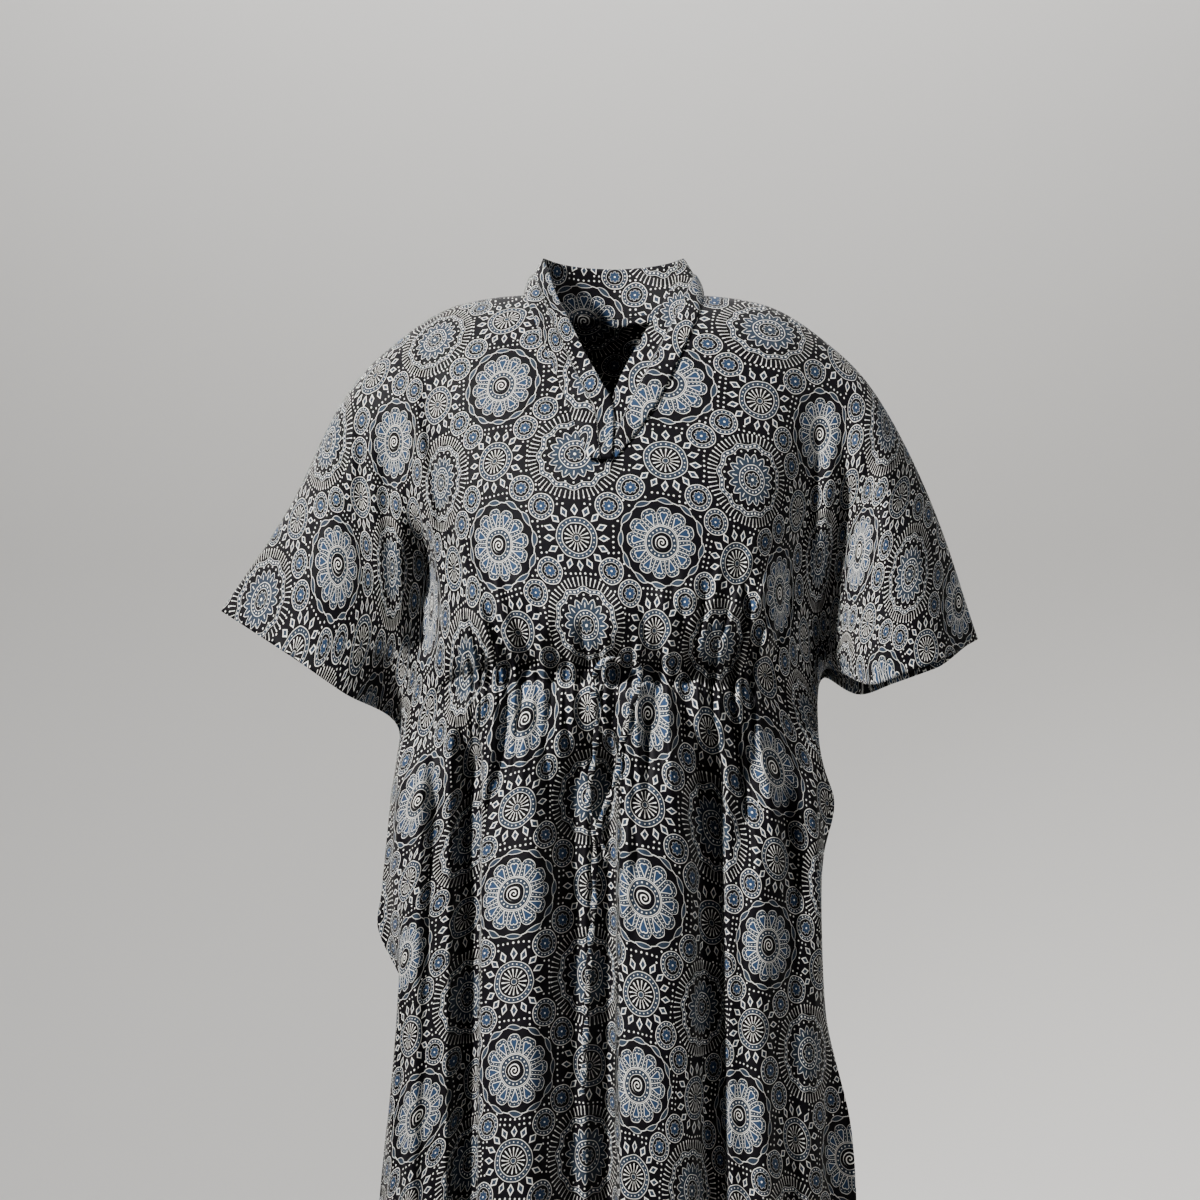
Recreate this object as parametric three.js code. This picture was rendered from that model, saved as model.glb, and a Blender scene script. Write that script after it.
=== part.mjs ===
// A drawstring kaftan in printed cotton, worn open over a plain general figure.
// Front and back are each cut in one with their sleeves and laid over the shoulders and arms.
// Millimetres. +X is the viewer's right, -Y is the front, +Z is up. The origin is where the shoulders hold it.
import * as THREE from "three";

// Cloth and sewing
const WALL = 1.2;
const SEAM_GAP = 0.3;
const LAYER = WALL + SEAM_GAP;
const SHOULDER_ROUND = 80;
const CASING_DOWN = 360;
const CASING_HALF = 7;
const CASING_PINCH = 9;
const BLOUSE_OUT = 11;
const BLOUSE_DOWN = 312;
const BLOUSE_REACH = 34;
const NECK_OVERLAP = 5;
const SLEEVE_BACK_DROP = 13;

// Gathers on the drawstring: how many, how far across, and how soon they fade
const FRONT_GATHERS = 22;
const BACK_GATHERS = 16;
const GATHER_HALF = 0.4;
const GATHER_DEPTH = 4.6;
const GATHER_FADE_UP = 46;
const GATHER_FADE_DOWN = 70;

// The mesh: steps across each wing and sleeve, and the heights of the rows down the cloth
const FRONT_WING_STEPS = 12;
const BACK_WING_STEPS = 9;
const NECK_ROWS_TO = 240;
const ROWS = [
  0, 6, 23, 49, 80, 120, 165, 205, 240, 275, 305, 328, 344, 353, 367, 378, 402, 440, 495, 555, 640, 730,
  840, 980, 1120, 1250,
];

// Sections down the cloth. Each list runs from the centre line outwards: centre, bust, armpit, shoulder, arm.
// down is measured along the cloth from the shoulder fold, x and z are the front view, front and back the depths.
const STATIONS = [0, 0.25, 0.42, 0.55, 0.75];
const SECTIONS = [
  { down: 0, x: [0, 143, 219, 262, 310], z: [10, 1, -46, -97, -194], front: [70, 58, 50, 46, 32], back: [66, 56, 50, 44, 30] },
  { down: 110, x: [0, 141, 205, 238, 268], z: [-100, -103, -148, -190, -262], front: [92, 82, 50, 50, 60], back: [84, 78, 52, 50, 52] },
  { down: 240, x: [0, 128, 176, 193, 203], z: [-228, -226, -262, -298, -340], front: [121, 98, 50, 30, 30], back: [94, 84, 50, 34, 30] },
  { down: 360, x: [0, 96, 146, 173, 197], z: [-353, -353, -366, -392, -436], front: [103, 84, 52, 30, 18], back: [86, 72, 48, 30, 18] },
  { down: 560, x: [0, 106, 157, 181, 201], z: [-553, -555, -573, -602, -640], front: [114, 94, 58, 34, 18], back: [102, 88, 56, 34, 18] },
  { down: 850, x: [0, 113, 167, 193, 217], z: [-843, -845, -861, -884, -915], front: [130, 108, 68, 40, 20], back: [116, 98, 64, 40, 20] },
  { down: 1250, x: [0, 122, 180, 208, 237], z: [-1240, -1242, -1256, -1274, -1302], front: [148, 124, 80, 48, 24], back: [132, 112, 76, 48, 24] },
];

// The outer edge on each side: the sleeve hem from its tip to the underarm, then the side seam, and below it
// the open slit. hang is how far the edge hangs behind the middle, gap how far each layer stands off it.
const SEAMED = 0.6;
const LEFT_EDGE = [
  { down: 0, x: -377, z: -296, hang: 4, gap: 9 },
  { down: 97, x: -306, z: -337, hang: 0, gap: 54 },
  { down: 172, x: -254, z: -373, hang: -2, gap: 52 },
  { down: 240, x: -207, z: -407, hang: 4, gap: SEAMED },
  { down: 314, x: -213, z: -475, hang: 4, gap: SEAMED },
  { down: 418, x: -222, z: -570, hang: -3, gap: SEAMED },
  { down: 454, x: -225, z: -603, hang: -4, gap: SEAMED },
  { down: 519, x: -199, z: -662, hang: 0, gap: SEAMED },
  { down: 560, x: -200, z: -700, hang: 2, gap: 2 },
  { down: 668, x: -216, z: -798, hang: 2, gap: 12 },
  { down: 834, x: -230, z: -950, hang: -2, gap: 14 },
  { down: 1042, x: -246, z: -1140, hang: 2, gap: 15 },
  { down: 1250, x: -262, z: -1330, hang: 4, gap: 16 },
];
const RIGHT_EDGE = [
  { down: 0, x: 354, z: -323, hang: 0, gap: 9 },
  { down: 63, x: 316, z: -340, hang: -6, gap: 46 },
  { down: 124, x: 278, z: -354, hang: -10, gap: 56 },
  { down: 178, x: 244, z: -365, hang: -8, gap: 50 },
  { down: 240, x: 205, z: -353, hang: 2, gap: SEAMED },
  { down: 324, x: 200, z: -432, hang: 2, gap: SEAMED },
  { down: 373, x: 215, z: -480, hang: -2, gap: SEAMED },
  { down: 427, x: 205, z: -532, hang: 1, gap: SEAMED },
  { down: 525, x: 200, z: -627, hang: 2, gap: SEAMED },
  { down: 600, x: 209, z: -700, hang: 0, gap: 2 },
  { down: 700, x: 231, z: -797, hang: -3, gap: 10 },
  { down: 860, x: 238, z: -950, hang: -2, gap: 13 },
  { down: 1054, x: 250, z: -1140, hang: 2, gap: 15 },
  { down: 1250, x: 262, z: -1330, hang: -2, gap: 16 },
];
const HANG_FROM = 0.6;

// Largest folds, as soft ridges (out above 0) and troughs (out below 0), in the front view.
// Each starts and ends at a height and leans from x to endX.
const FRONT_FOLDS = [
  { x: -152, endX: -166, z: -410, endZ: -1400, half: 30, out: -24 },
  { x: -84, endX: -102, z: -400, endZ: -1400, half: 30, out: 13 },
  { x: -30, endX: -36, z: -400, endZ: -1400, half: 34, out: -13 },
  { x: 38, endX: 46, z: -400, endZ: -1400, half: 30, out: 14 },
  { x: 80, endX: 96, z: -400, endZ: -1400, half: 17, out: -16 },
  { x: 128, endX: 146, z: -410, endZ: -1400, half: 30, out: 9 },
  { x: 182, endX: 190, z: -440, endZ: -1400, half: 18, out: -12 },
  { x: 232, endX: 202, z: -140, endZ: -350, half: 20, out: -17 },
  { x: -178, endX: -184, z: -190, endZ: -350, half: 20, out: -15 },
  { x: -184, endX: -160, z: -20, endZ: -320, half: 14, out: 6 },
  { x: -86, endX: -94, z: -230, endZ: -346, half: 14, out: 7 },
  { x: 6, endX: 2, z: -250, endZ: -346, half: 14, out: 5 },
  { x: 70, endX: 82, z: -240, endZ: -346, half: 14, out: 7 },
  { x: 132, endX: 148, z: -220, endZ: -352, half: 15, out: 7 },
];
const BACK_FOLDS = [
  { x: -150, endX: -164, z: -400, endZ: -1400, half: 28, out: -20 },
  { x: -96, endX: -108, z: -400, endZ: -1400, half: 28, out: 12 },
  { x: -44, endX: -50, z: -400, endZ: -1400, half: 24, out: -13 },
  { x: 8, endX: 6, z: -400, endZ: -1400, half: 28, out: 13 },
  { x: 58, endX: 66, z: -400, endZ: -1400, half: 22, out: -13 },
  { x: 106, endX: 122, z: -400, endZ: -1400, half: 26, out: 12 },
  { x: 154, endX: 172, z: -410, endZ: -1400, half: 24, out: -16 },
  { x: -212, endX: -182, z: -150, endZ: -350, half: 22, out: -12 },
  { x: 212, endX: 182, z: -150, endZ: -350, half: 22, out: -12 },
  { x: -70, endX: -52, z: -200, endZ: -346, half: 16, out: 7 },
  { x: 66, endX: 50, z: -190, endZ: -346, half: 16, out: 7 },
];
const FOLD_END = 60;

// Neckbands in the front view, from the shoulder to the point of the neck: the seam edge and the open edge.
// stand is the depth of the open edge where it stands round the neck, or null where it lies on the chest.
const LEFT_BAND = [
  { seamX: -84, seamZ: 10, openX: -66, openZ: 50, stand: -1 },
  { seamX: -76, seamZ: -12, openX: -60, openZ: 30, stand: -15 },
  { seamX: -67, seamZ: -38, openX: -53, openZ: 8, stand: -32 },
  { seamX: -57, seamZ: -62, openX: -40, openZ: -20, stand: -54 },
  { seamX: -49, seamZ: -82, openX: -26, openZ: -50, stand: -71 },
  { seamX: -42, seamZ: -101, openX: -11, openZ: -79, stand: null },
  { seamX: -34, seamZ: -123, openX: 1, openZ: -104, stand: null },
  { seamX: -23, seamZ: -154, openX: 0, openZ: -154, stand: null },
];
const RIGHT_BAND = [
  { seamX: 89, seamZ: 10, openX: 70, openZ: 50, stand: -1 },
  { seamX: 84, seamZ: -10, openX: 65, openZ: 34, stand: -13 },
  { seamX: 77, seamZ: -27, openX: 56, openZ: 12, stand: -29 },
  { seamX: 69, seamZ: -46, openX: 43, openZ: -12, stand: -49 },
  { seamX: 58, seamZ: -70, openX: 27, openZ: -40, stand: -67 },
  { seamX: 45, seamZ: -96, openX: 12, openZ: -68, stand: -80 },
  { seamX: 30, seamZ: -120, openX: 1, openZ: -95, stand: null },
  { seamX: 4, seamZ: -153, openX: -9, openZ: -142, stand: null },
];
const BAND_LIFT = 1.9;
const PLACKET_LIFT = 2.8;
const PLACKET_FROM = -72;
const PLACKET_FULL = -96;
const BAND_STEPS = 3;
// Across a neckband from the open edge to the seam: a plain strip, then a tuck folded over it.
const BAND_PROFILE = [
  { across: 0, lift: 0 },
  { across: 0.2, lift: 0.5 },
  { across: 0.42, lift: 0.4 },
  { across: 0.47, lift: 2.0 },
  { across: 0.75, lift: 2.2 },
  { across: 1, lift: 0.2 },
];

// Stand collar round the back of the neck
const BACK_NECK = [
  { x: -84, z: 10 },
  { x: -62, z: -3 },
  { x: 0, z: -13 },
  { x: 66, z: -3 },
  { x: 89, z: 10 },
];
const COLLAR_STEPS = 24;
const COLLAR_ROWS = 4;
const COLLAR_TOP_LEFT = -66;
const COLLAR_TOP_RIGHT = 70;
const COLLAR_TOP_BACK = 62;
const COLLAR_TOP_Z = 50;
const COLLAR_BACK_DIP = 8;

// The two free ends of the drawstring, from the slit in the casing down the front
const TIE_RADIUS = 2.6;
const TIE_SIDES = 8;
const LONG_TIE = [
  [8, -111.9, -341],
  [-3, -111.6, -339],
  [-12, -109.5, -347],
  [-18, -108.5, -362],
  [-16, -110, -382],
  [-14, -110.5, -404],
  [-16, -109, -428],
  [-20, -107.5, -452],
  [-22, -107, -472],
  [-17, -108.5, -492],
  [-16, -110, -510],
  [-16, -111.5, -540],
  [-17, -113, -572],
  [-20, -114, -604],
  [-22, -115, -636],
  [-23, -116, -664],
  [-25, -117.5, -704],
  [-27, -119, -742],
];
const SHORT_TIE = [
  [21, -108.7, -341],
  [26, -105, -351],
  [25, -105.5, -366],
  [19, -109, -384],
  [13, -110, -402],
  [8, -112, -426],
  [4, -113.5, -450],
  [-3, -114.5, -470],
  [-10, -115, -486],
  [-12, -115, -499],
  [-9, -114.5, -511],
  [-4, -115, -526],
];

const CLOTH = new THREE.MeshStandardMaterial({ color: 0x34333c, roughness: 0.78, metalness: 0 });

// A smooth curve through values at given places.
function through(places, values, at) {
  const last = places.length - 1;
  let i = 0;
  while (i < last - 1 && at > places[i + 1]) i += 1;
  const slope = (k) => {
    const before = Math.max(k - 1, 0);
    const after = Math.min(k + 1, last);
    return (values[after] - values[before]) / (places[after] - places[before]);
  };
  const span = places[i + 1] - places[i];
  const f = THREE.MathUtils.clamp((at - places[i]) / span, 0, 1);
  const start = values[i] * (1 + 2 * f) * (1 - f) ** 2 + slope(i) * span * f * (1 - f) ** 2;
  return start + values[i + 1] * f * f * (3 - 2 * f) + slope(i + 1) * span * f * f * (f - 1);
}

// One named column of a table, at a place along another.
function column(rows, along, name, at) {
  return through(
    rows.map((row) => row[along]),
    rows.map((row) => row[name]),
    at,
  );
}

// A straight-sided look-up in a table, for outlines with corners.
function outline(rows, at) {
  let i = 0;
  while (i < rows.length - 2 && at > rows[i + 1].x) i += 1;
  const f = (at - rows[i].x) / (rows[i + 1].x - rows[i].x);
  return rows[i].z + (rows[i + 1].z - rows[i].z) * f;
}

function smooth(from, to, at) {
  const f = THREE.MathUtils.clamp((at - from) / (to - from), 0, 1);
  return f * f * (3 - 2 * f);
}

// How far the folds of a table stand out at a place of the front view.
function foldsAt(folds, x, z) {
  let out = 0;
  for (const fold of folds) {
    const f = (z - fold.z) / (fold.endZ - fold.z);
    if (f < 0 || f > 1) continue;
    const lean = fold.x + (fold.endX - fold.x) * f;
    const off = Math.abs(x - lean) / fold.half;
    if (off > 1.6) continue;
    const ends = smooth(fold.z, fold.z - FOLD_END, z) * smooth(fold.endZ, fold.endZ + FOLD_END / 2, z);
    out += fold.out * ends * Math.exp(-2 * off * off);
  }
  return out;
}

// Gathers on the drawstring: sharp little pleats, uneven in depth, fading above and below the casing.
function gather(count, across, down) {
  if (Math.abs(across) > GATHER_HALF) return 0;
  const turn = ((across / GATHER_HALF + 1) / 2) * count;
  const wave = 4 * Math.abs(turn - Math.floor(turn) - 0.5) - 1;
  const uneven = 0.78 + 0.22 * Math.sin(turn * 2.3 + 1.1);
  const reach = down < CASING_DOWN ? GATHER_FADE_UP : GATHER_FADE_DOWN;
  const fade = Math.exp(-(((down - CASING_DOWN) / reach) ** 2));
  const sides = smooth(GATHER_HALF, GATHER_HALF - 0.06, Math.abs(across));
  return -wave * uneven * GATHER_DEPTH * fade * sides;
}

// A point on the middle of a panel. across runs from -1 at the left edge to 1 at the right edge.
function panelPoint(panel, across, down) {
  const right = across >= 0;
  const out = Math.abs(across);
  const edge = right ? RIGHT_EDGE : LEFT_EDGE;
  const at = (name, k) =>
    through(
      SECTIONS.map((section) => section.down),
      SECTIONS.map((section) => section[name][k]),
      down,
    );
  const hang = column(edge, "down", "hang", down) * smooth(HANG_FROM, 1, out);
  const line = (name, atEdge, mirror) => {
    const values = STATIONS.map((_, k) => at(name, k));
    return through([-STATIONS[1], ...STATIONS, 1], [values[1] * mirror, ...values, atEdge], out);
  };
  const x = line("x", Math.abs(column(edge, "down", "x", down)), -1) * (right ? 1 : -1);
  let z = line("z", column(edge, "down", "z", down), 1);
  let depth = line(panel.front ? "front" : "back", column(edge, "down", "gap", down), 1);
  const sleeve = smooth(0.55, 0.85, out) * smooth(290, 200, down) * smooth(0, 60, down);
  if (!panel.front && right) z -= SLEEVE_BACK_DROP * sleeve;
  const waist = smooth(0.62, 0.38, out);
  depth += waist * BLOUSE_OUT * Math.exp(-(((down - BLOUSE_DOWN) / BLOUSE_REACH) ** 2));
  depth -= waist * CASING_PINCH * Math.exp(-(((down - CASING_DOWN) / (CASING_HALF * 2)) ** 2));
  depth += foldsAt(panel.folds, x, z) + gather(panel.gathers, across, down);
  const round = down < SHOULDER_ROUND ? Math.sqrt(1 - (1 - down / SHOULDER_ROUND) ** 2) : 1;
  const y = SEAM_GAP / 2 + Math.max(depth, SEAMED) * round;
  return new THREE.Vector3(x, hang * round + (panel.front ? -y : y), z);
}

const FRONT = { front: true, folds: FRONT_FOLDS, gathers: FRONT_GATHERS, wing: FRONT_WING_STEPS };
const BACK = { front: false, folds: BACK_FOLDS, gathers: BACK_GATHERS, wing: BACK_WING_STEPS };

// The neck edge of a panel in the front view.
const FRONT_NECK = [
  ...LEFT_BAND.map((row) => ({ x: row.seamX + NECK_OVERLAP, z: row.seamZ })),
  ...RIGHT_BAND.map((row) => ({ x: row.seamX - NECK_OVERLAP, z: row.seamZ })).reverse(),
];
FRONT.neck = FRONT_NECK;
BACK.neck = BACK_NECK;

// Where a column of a panel starts: on the shoulder fold, or lower down on the neck edge.
function neckDown(panel, across) {
  const last = panel.neck[panel.neck.length - 1];
  let down = 0;
  for (let pass = 0; pass < 12; pass += 1) {
    const p = panelPoint(panel, across, down);
    if (p.x < panel.neck[0].x || p.x > last.x) return 0;
    down = Math.max(0, down + (p.z - outline(panel.neck, p.x)) * 0.9);
  }
  return down;
}

// The point of a panel, and the way it faces, at a place of the front view.
function onPanel(panel, x, z) {
  let across = x / 570;
  let down = Math.max(0.5, 10 - z);
  let p = panelPoint(panel, across, down);
  for (let pass = 0; pass < 30; pass += 1) {
    across += ((x - p.x) / 570) * 0.8;
    down = Math.max(0.5, down + (p.z - z) * 0.8);
    p = panelPoint(panel, across, down);
  }
  const side = panelPoint(panel, across + 0.004, down).sub(panelPoint(panel, across - 0.004, down));
  const fall = panelPoint(panel, across, down + 2).sub(panelPoint(panel, across, Math.max(0, down - 2)));
  const facing = panel.front ? fall.cross(side) : side.cross(fall);
  return { point: p, facing: facing.normalize() };
}

// A closed wall on a grid of points, its outer side where the columns crossed with the rows point.
function wallOn(grid, thickness, flatAtTop) {
  const rows = grid.length;
  const columns = grid[0].length;
  const outer = [];
  const inner = [];
  for (let j = 0; j < rows; j += 1) {
    for (let i = 0; i < columns; i += 1) {
      const side = grid[j][Math.min(i + 1, columns - 1)].clone().sub(grid[j][Math.max(i - 1, 0)]);
      const fall = grid[Math.min(j + 1, rows - 1)][i].clone().sub(grid[Math.max(j - 1, 0)][i]);
      const facing = fall.cross(side);
      if (flatAtTop && j === 0) facing.y = 0;
      facing.normalize().multiplyScalar(thickness / 2);
      outer.push(grid[j][i].clone().add(facing));
      inner.push(grid[j][i].clone().sub(facing));
    }
  }
  const positions = [];
  const quad = (a, b, c, d) => {
    for (const p of [a, b, c, a, c, d]) positions.push(p.x, p.y, p.z);
  };
  for (let j = 0; j < rows - 1; j += 1) {
    for (let i = 0; i < columns - 1; i += 1) {
      const k = j * columns + i;
      quad(outer[k], outer[k + columns], outer[k + columns + 1], outer[k + 1]);
      quad(inner[k], inner[k + 1], inner[k + columns + 1], inner[k + columns]);
    }
  }
  for (let i = 0; i < columns - 1; i += 1) {
    const low = (rows - 1) * columns + i;
    quad(outer[i], outer[i + 1], inner[i + 1], inner[i]);
    quad(outer[low + 1], outer[low], inner[low], inner[low + 1]);
  }
  for (let j = 0; j < rows - 1; j += 1) {
    const left = j * columns;
    const right = left + columns - 1;
    quad(outer[left + columns], outer[left], inner[left], inner[left + columns]);
    quad(outer[right], outer[right + columns], inner[right + columns], inner[right]);
  }
  const geometry = new THREE.BufferGeometry();
  geometry.setAttribute("position", new THREE.Float32BufferAttribute(positions, 3));
  geometry.computeVertexNormals();
  return geometry;
}

function named(name, geometry) {
  const mesh = new THREE.Mesh(geometry, CLOTH.clone());
  mesh.name = name;
  return mesh;
}

// Places across a panel: a column on each crest and valley of the gathers, and even steps over the wings.
function acrossPlaces(panel) {
  const places = [];
  for (let k = 0; k < panel.wing; k += 1) places.push(-1 + ((1 - GATHER_HALF) * k) / panel.wing);
  for (let k = 0; k <= panel.gathers * 2; k += 1) places.push(-GATHER_HALF + (GATHER_HALF * k) / panel.gathers);
  for (let k = 1; k <= panel.wing; k += 1) places.push(GATHER_HALF + ((1 - GATHER_HALF) * k) / panel.wing);
  return places;
}

function panelMesh(name, panel) {
  const places = acrossPlaces(panel);
  const tops = places.map((across) => neckDown(panel, across));
  const grid = ROWS.map((row) =>
    places.map((across, i) => {
      const share = Math.min(1, row / NECK_ROWS_TO);
      const down = row < NECK_ROWS_TO ? tops[i] + (NECK_ROWS_TO - tops[i]) * share : row;
      return panelPoint(panel, across, down);
    }),
  );
  if (!panel.front) for (const row of grid) row.reverse();
  return named(name, wallOn(grid, WALL, true));
}

// A neckband: a strip from its open edge to its seam, lying on the front and standing up round the neck.
function bandMesh(name, rows, lapsOver) {
  const places = rows.map((_, k) => k);
  const grid = [];
  for (let step = 0; step <= (rows.length - 1) * BAND_STEPS; step += 1) {
    const at = step / BAND_STEPS;
    const pick = (key) => through(places, rows.map((row) => row[key]), at);
    const lap = lapsOver ? PLACKET_LIFT * smooth(PLACKET_FROM, PLACKET_FULL, pick("seamZ")) : 0;
    const seam = at < 0.01 ? null : onPanel(FRONT, pick("seamX"), Math.min(pick("seamZ"), 9));
    const start = new THREE.Vector3(pick("seamX"), -SEAM_GAP, pick("seamZ") + LAYER);
    const seamPoint = seam ? seam.point.clone().addScaledVector(seam.facing, BAND_LIFT + lap) : start;
    const lying = onPanel(FRONT, pick("openX"), Math.min(pick("openZ"), 6));
    const lyingY = lying.point.y - BAND_LIFT - lap;
    const stands = rows.map((row) => (row.stand === null ? lyingY : row.stand));
    const openPoint = new THREE.Vector3(pick("openX"), through(places, stands, at), pick("openZ"));
    const along = seamPoint.clone().sub(openPoint);
    const tuck = lapsOver ? 1 : smooth(-142, -100, pick("seamZ")) * 0.85 + 0.15;
    grid.push(
      BAND_PROFILE.map((stop) => {
        const p = openPoint.clone().addScaledVector(along, stop.across);
        const away = new THREE.Vector3(Math.sign(rows[0].seamX) * 0.35, -0.9, 0.1).normalize();
        if (at < 1) away.lerp(new THREE.Vector3(Math.sign(rows[0].seamX), 0, 0), 1 - at).normalize();
        return p.addScaledVector(away, stop.lift * tuck);
      }),
    );
  }
  const leftToRight = rows[0].seamX > 0;
  if (!leftToRight) for (const row of grid) row.reverse();
  return named(name, wallOn(grid, WALL, true));
}

// The stand collar: up from the back neck edge to its top edge, which closes in towards the neck.
function collarMesh(name) {
  const first = BACK_NECK[0].x;
  const last = BACK_NECK[BACK_NECK.length - 1].x;
  const grid = [];
  for (let j = 0; j <= COLLAR_ROWS; j += 1) grid.push([]);
  for (let i = 0; i <= COLLAR_STEPS; i += 1) {
    const turn = (Math.PI * i) / COLLAR_STEPS;
    const share = (1 - Math.cos(turn)) / 2;
    const footX = first + (last - first) * share;
    const foot = onPanel(BACK, footX, Math.min(outline(BACK_NECK, footX), 9));
    const base = foot.point.clone().addScaledVector(foot.facing, LAYER);
    base.y = Math.max(base.y, SEAM_GAP);
    if (i === 0 || i === COLLAR_STEPS) base.set(footX, SEAM_GAP, BACK_NECK[0].z + LAYER);
    const topX = COLLAR_TOP_LEFT + (COLLAR_TOP_RIGHT - COLLAR_TOP_LEFT) * share;
    const top = new THREE.Vector3(
      topX,
      SEAM_GAP + COLLAR_TOP_BACK * Math.sin(turn),
      COLLAR_TOP_Z - COLLAR_BACK_DIP * Math.sin(turn),
    );
    for (let j = 0; j <= COLLAR_ROWS; j += 1) {
      const rise = 1 - j / COLLAR_ROWS;
      grid[j].push(base.clone().lerp(top, rise));
    }
  }
  for (const row of grid) row.reverse();
  return named(name, wallOn(grid, WALL, false));
}

// A free end of the drawstring: a round tie along its route.
function tieMesh(name, route) {
  const section = new THREE.Shape();
  for (let k = 0; k < TIE_SIDES; k += 1) {
    const turn = (2 * Math.PI * k) / TIE_SIDES;
    const x = TIE_RADIUS * Math.cos(turn);
    const y = TIE_RADIUS * Math.sin(turn);
    if (k === 0) section.moveTo(x, y);
    else section.lineTo(x, y);
  }
  section.closePath();
  const path = new THREE.CatmullRomCurve3(route.map((p) => new THREE.Vector3(...p)));
  const steps = Math.round(path.getLength() / (TIE_RADIUS * 5));
  return named(name, new THREE.ExtrudeGeometry(section, { steps, extrudePath: path, bevelEnabled: false }));
}

const kaftan = new THREE.Group();
kaftan.add(panelMesh("front", FRONT));
kaftan.add(panelMesh("back", BACK));
kaftan.add(bandMesh("neckband_left", LEFT_BAND, true));
kaftan.add(bandMesh("neckband_right", RIGHT_BAND, false));
kaftan.add(collarMesh("stand_collar"));
kaftan.add(tieMesh("drawstring_long_end", LONG_TIE));
kaftan.add(tieMesh("drawstring_short_end", SHORT_TIE));

export default kaftan;
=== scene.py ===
import math

import bpy
import numpy as np
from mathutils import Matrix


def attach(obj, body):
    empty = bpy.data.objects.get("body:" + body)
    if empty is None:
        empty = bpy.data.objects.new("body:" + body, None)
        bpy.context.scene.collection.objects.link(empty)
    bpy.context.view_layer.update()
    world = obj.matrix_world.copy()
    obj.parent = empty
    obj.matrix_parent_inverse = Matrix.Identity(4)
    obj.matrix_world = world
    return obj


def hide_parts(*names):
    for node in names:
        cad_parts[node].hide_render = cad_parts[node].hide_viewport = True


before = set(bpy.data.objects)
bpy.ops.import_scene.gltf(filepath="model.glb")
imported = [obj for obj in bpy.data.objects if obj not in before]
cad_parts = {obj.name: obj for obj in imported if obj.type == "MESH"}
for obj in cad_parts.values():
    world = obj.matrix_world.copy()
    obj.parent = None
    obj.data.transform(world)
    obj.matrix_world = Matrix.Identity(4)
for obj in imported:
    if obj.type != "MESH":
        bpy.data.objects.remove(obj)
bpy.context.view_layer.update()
MM = 0.001

# Camera: level, in front, close enough to show the garment from above the collar to the skirt
LENS = 85
SENSOR = 36
CAMERA_X = -11
CAMERA_Y = -2740
CAMERA_Z = -285

camera_data = bpy.data.cameras.new("camera")
camera_data.lens = LENS
camera_data.sensor_width = SENSOR
camera = bpy.data.objects.new("camera", camera_data)
camera.location = (CAMERA_X * MM, CAMERA_Y * MM, CAMERA_Z * MM)
camera.rotation_euler = (math.radians(90), 0, 0)
bpy.context.scene.collection.objects.link(camera)
bpy.context.scene.camera = camera

# Cloth and sewing
WALL = 1.2
SEAM_GAP = 0.3
LAYER = WALL + SEAM_GAP
SHOULDER_ROUND = 80
CASING_DOWN = 360
CASING_HALF = 7
CASING_PINCH = 12
BLOUSE_OUT = 13
BLOUSE_DOWN = 312
BLOUSE_REACH = 34
NECK_OVERLAP = 5
SLEEVE_BACK_DROP = 13
NECK_ROWS_TO = 240
SEAMED = 0.6
HANG_FROM = 0.6
FOLD_END = 60
FOLD_LEAN = 0.12
HEM = 11
HEM_LIFT = 1.1
PANEL_LENGTH = 1250
SLEEVE_DEPTH = 240
SLEEVE_CUT = 540
BODY_CUT = 356
SEAM_FROM = 238
SEAM_TO = 560
CASING_DRAW = 3.0
CORD_OUT = 3.2
CORD_HALF = 4.5
STITCH_IN = 1.6
STITCH_HALF = 1.8
STITCH_ROW = 9

# Sections down the cloth. Each list runs outwards: centre line, bust, armpit, shoulder, arm.
STATIONS = [0, 0.25, 0.42, 0.55, 0.75]
SECTION_DOWN = [0, 110, 240, 360, 560, 850, 1250]
SECTION_X = [
    [0, 143, 219, 262, 310],
    [0, 141, 205, 238, 268],
    [0, 128, 176, 193, 203],
    [0, 96, 146, 173, 197],
    [0, 106, 157, 181, 201],
    [0, 113, 167, 193, 217],
    [0, 122, 180, 208, 237],
]
SECTION_Z = [
    [10, 1, -46, -97, -194],
    [-100, -103, -148, -190, -262],
    [-228, -226, -262, -298, -340],
    [-353, -353, -366, -392, -436],
    [-553, -555, -573, -602, -640],
    [-843, -845, -861, -884, -915],
    [-1240, -1242, -1256, -1274, -1302],
]
SECTION_FRONT = [
    [70, 58, 50, 46, 32],
    [92, 82, 50, 50, 60],
    [121, 98, 50, 30, 30],
    [103, 84, 52, 30, 18],
    [114, 94, 58, 34, 18],
    [130, 108, 68, 40, 20],
    [148, 124, 80, 48, 24],
]
SECTION_BACK = [
    [66, 56, 50, 44, 30],
    [84, 78, 52, 50, 52],
    [94, 84, 50, 34, 30],
    [86, 72, 48, 30, 18],
    [102, 88, 56, 34, 18],
    [116, 98, 64, 40, 20],
    [132, 112, 76, 48, 24],
]

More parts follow.
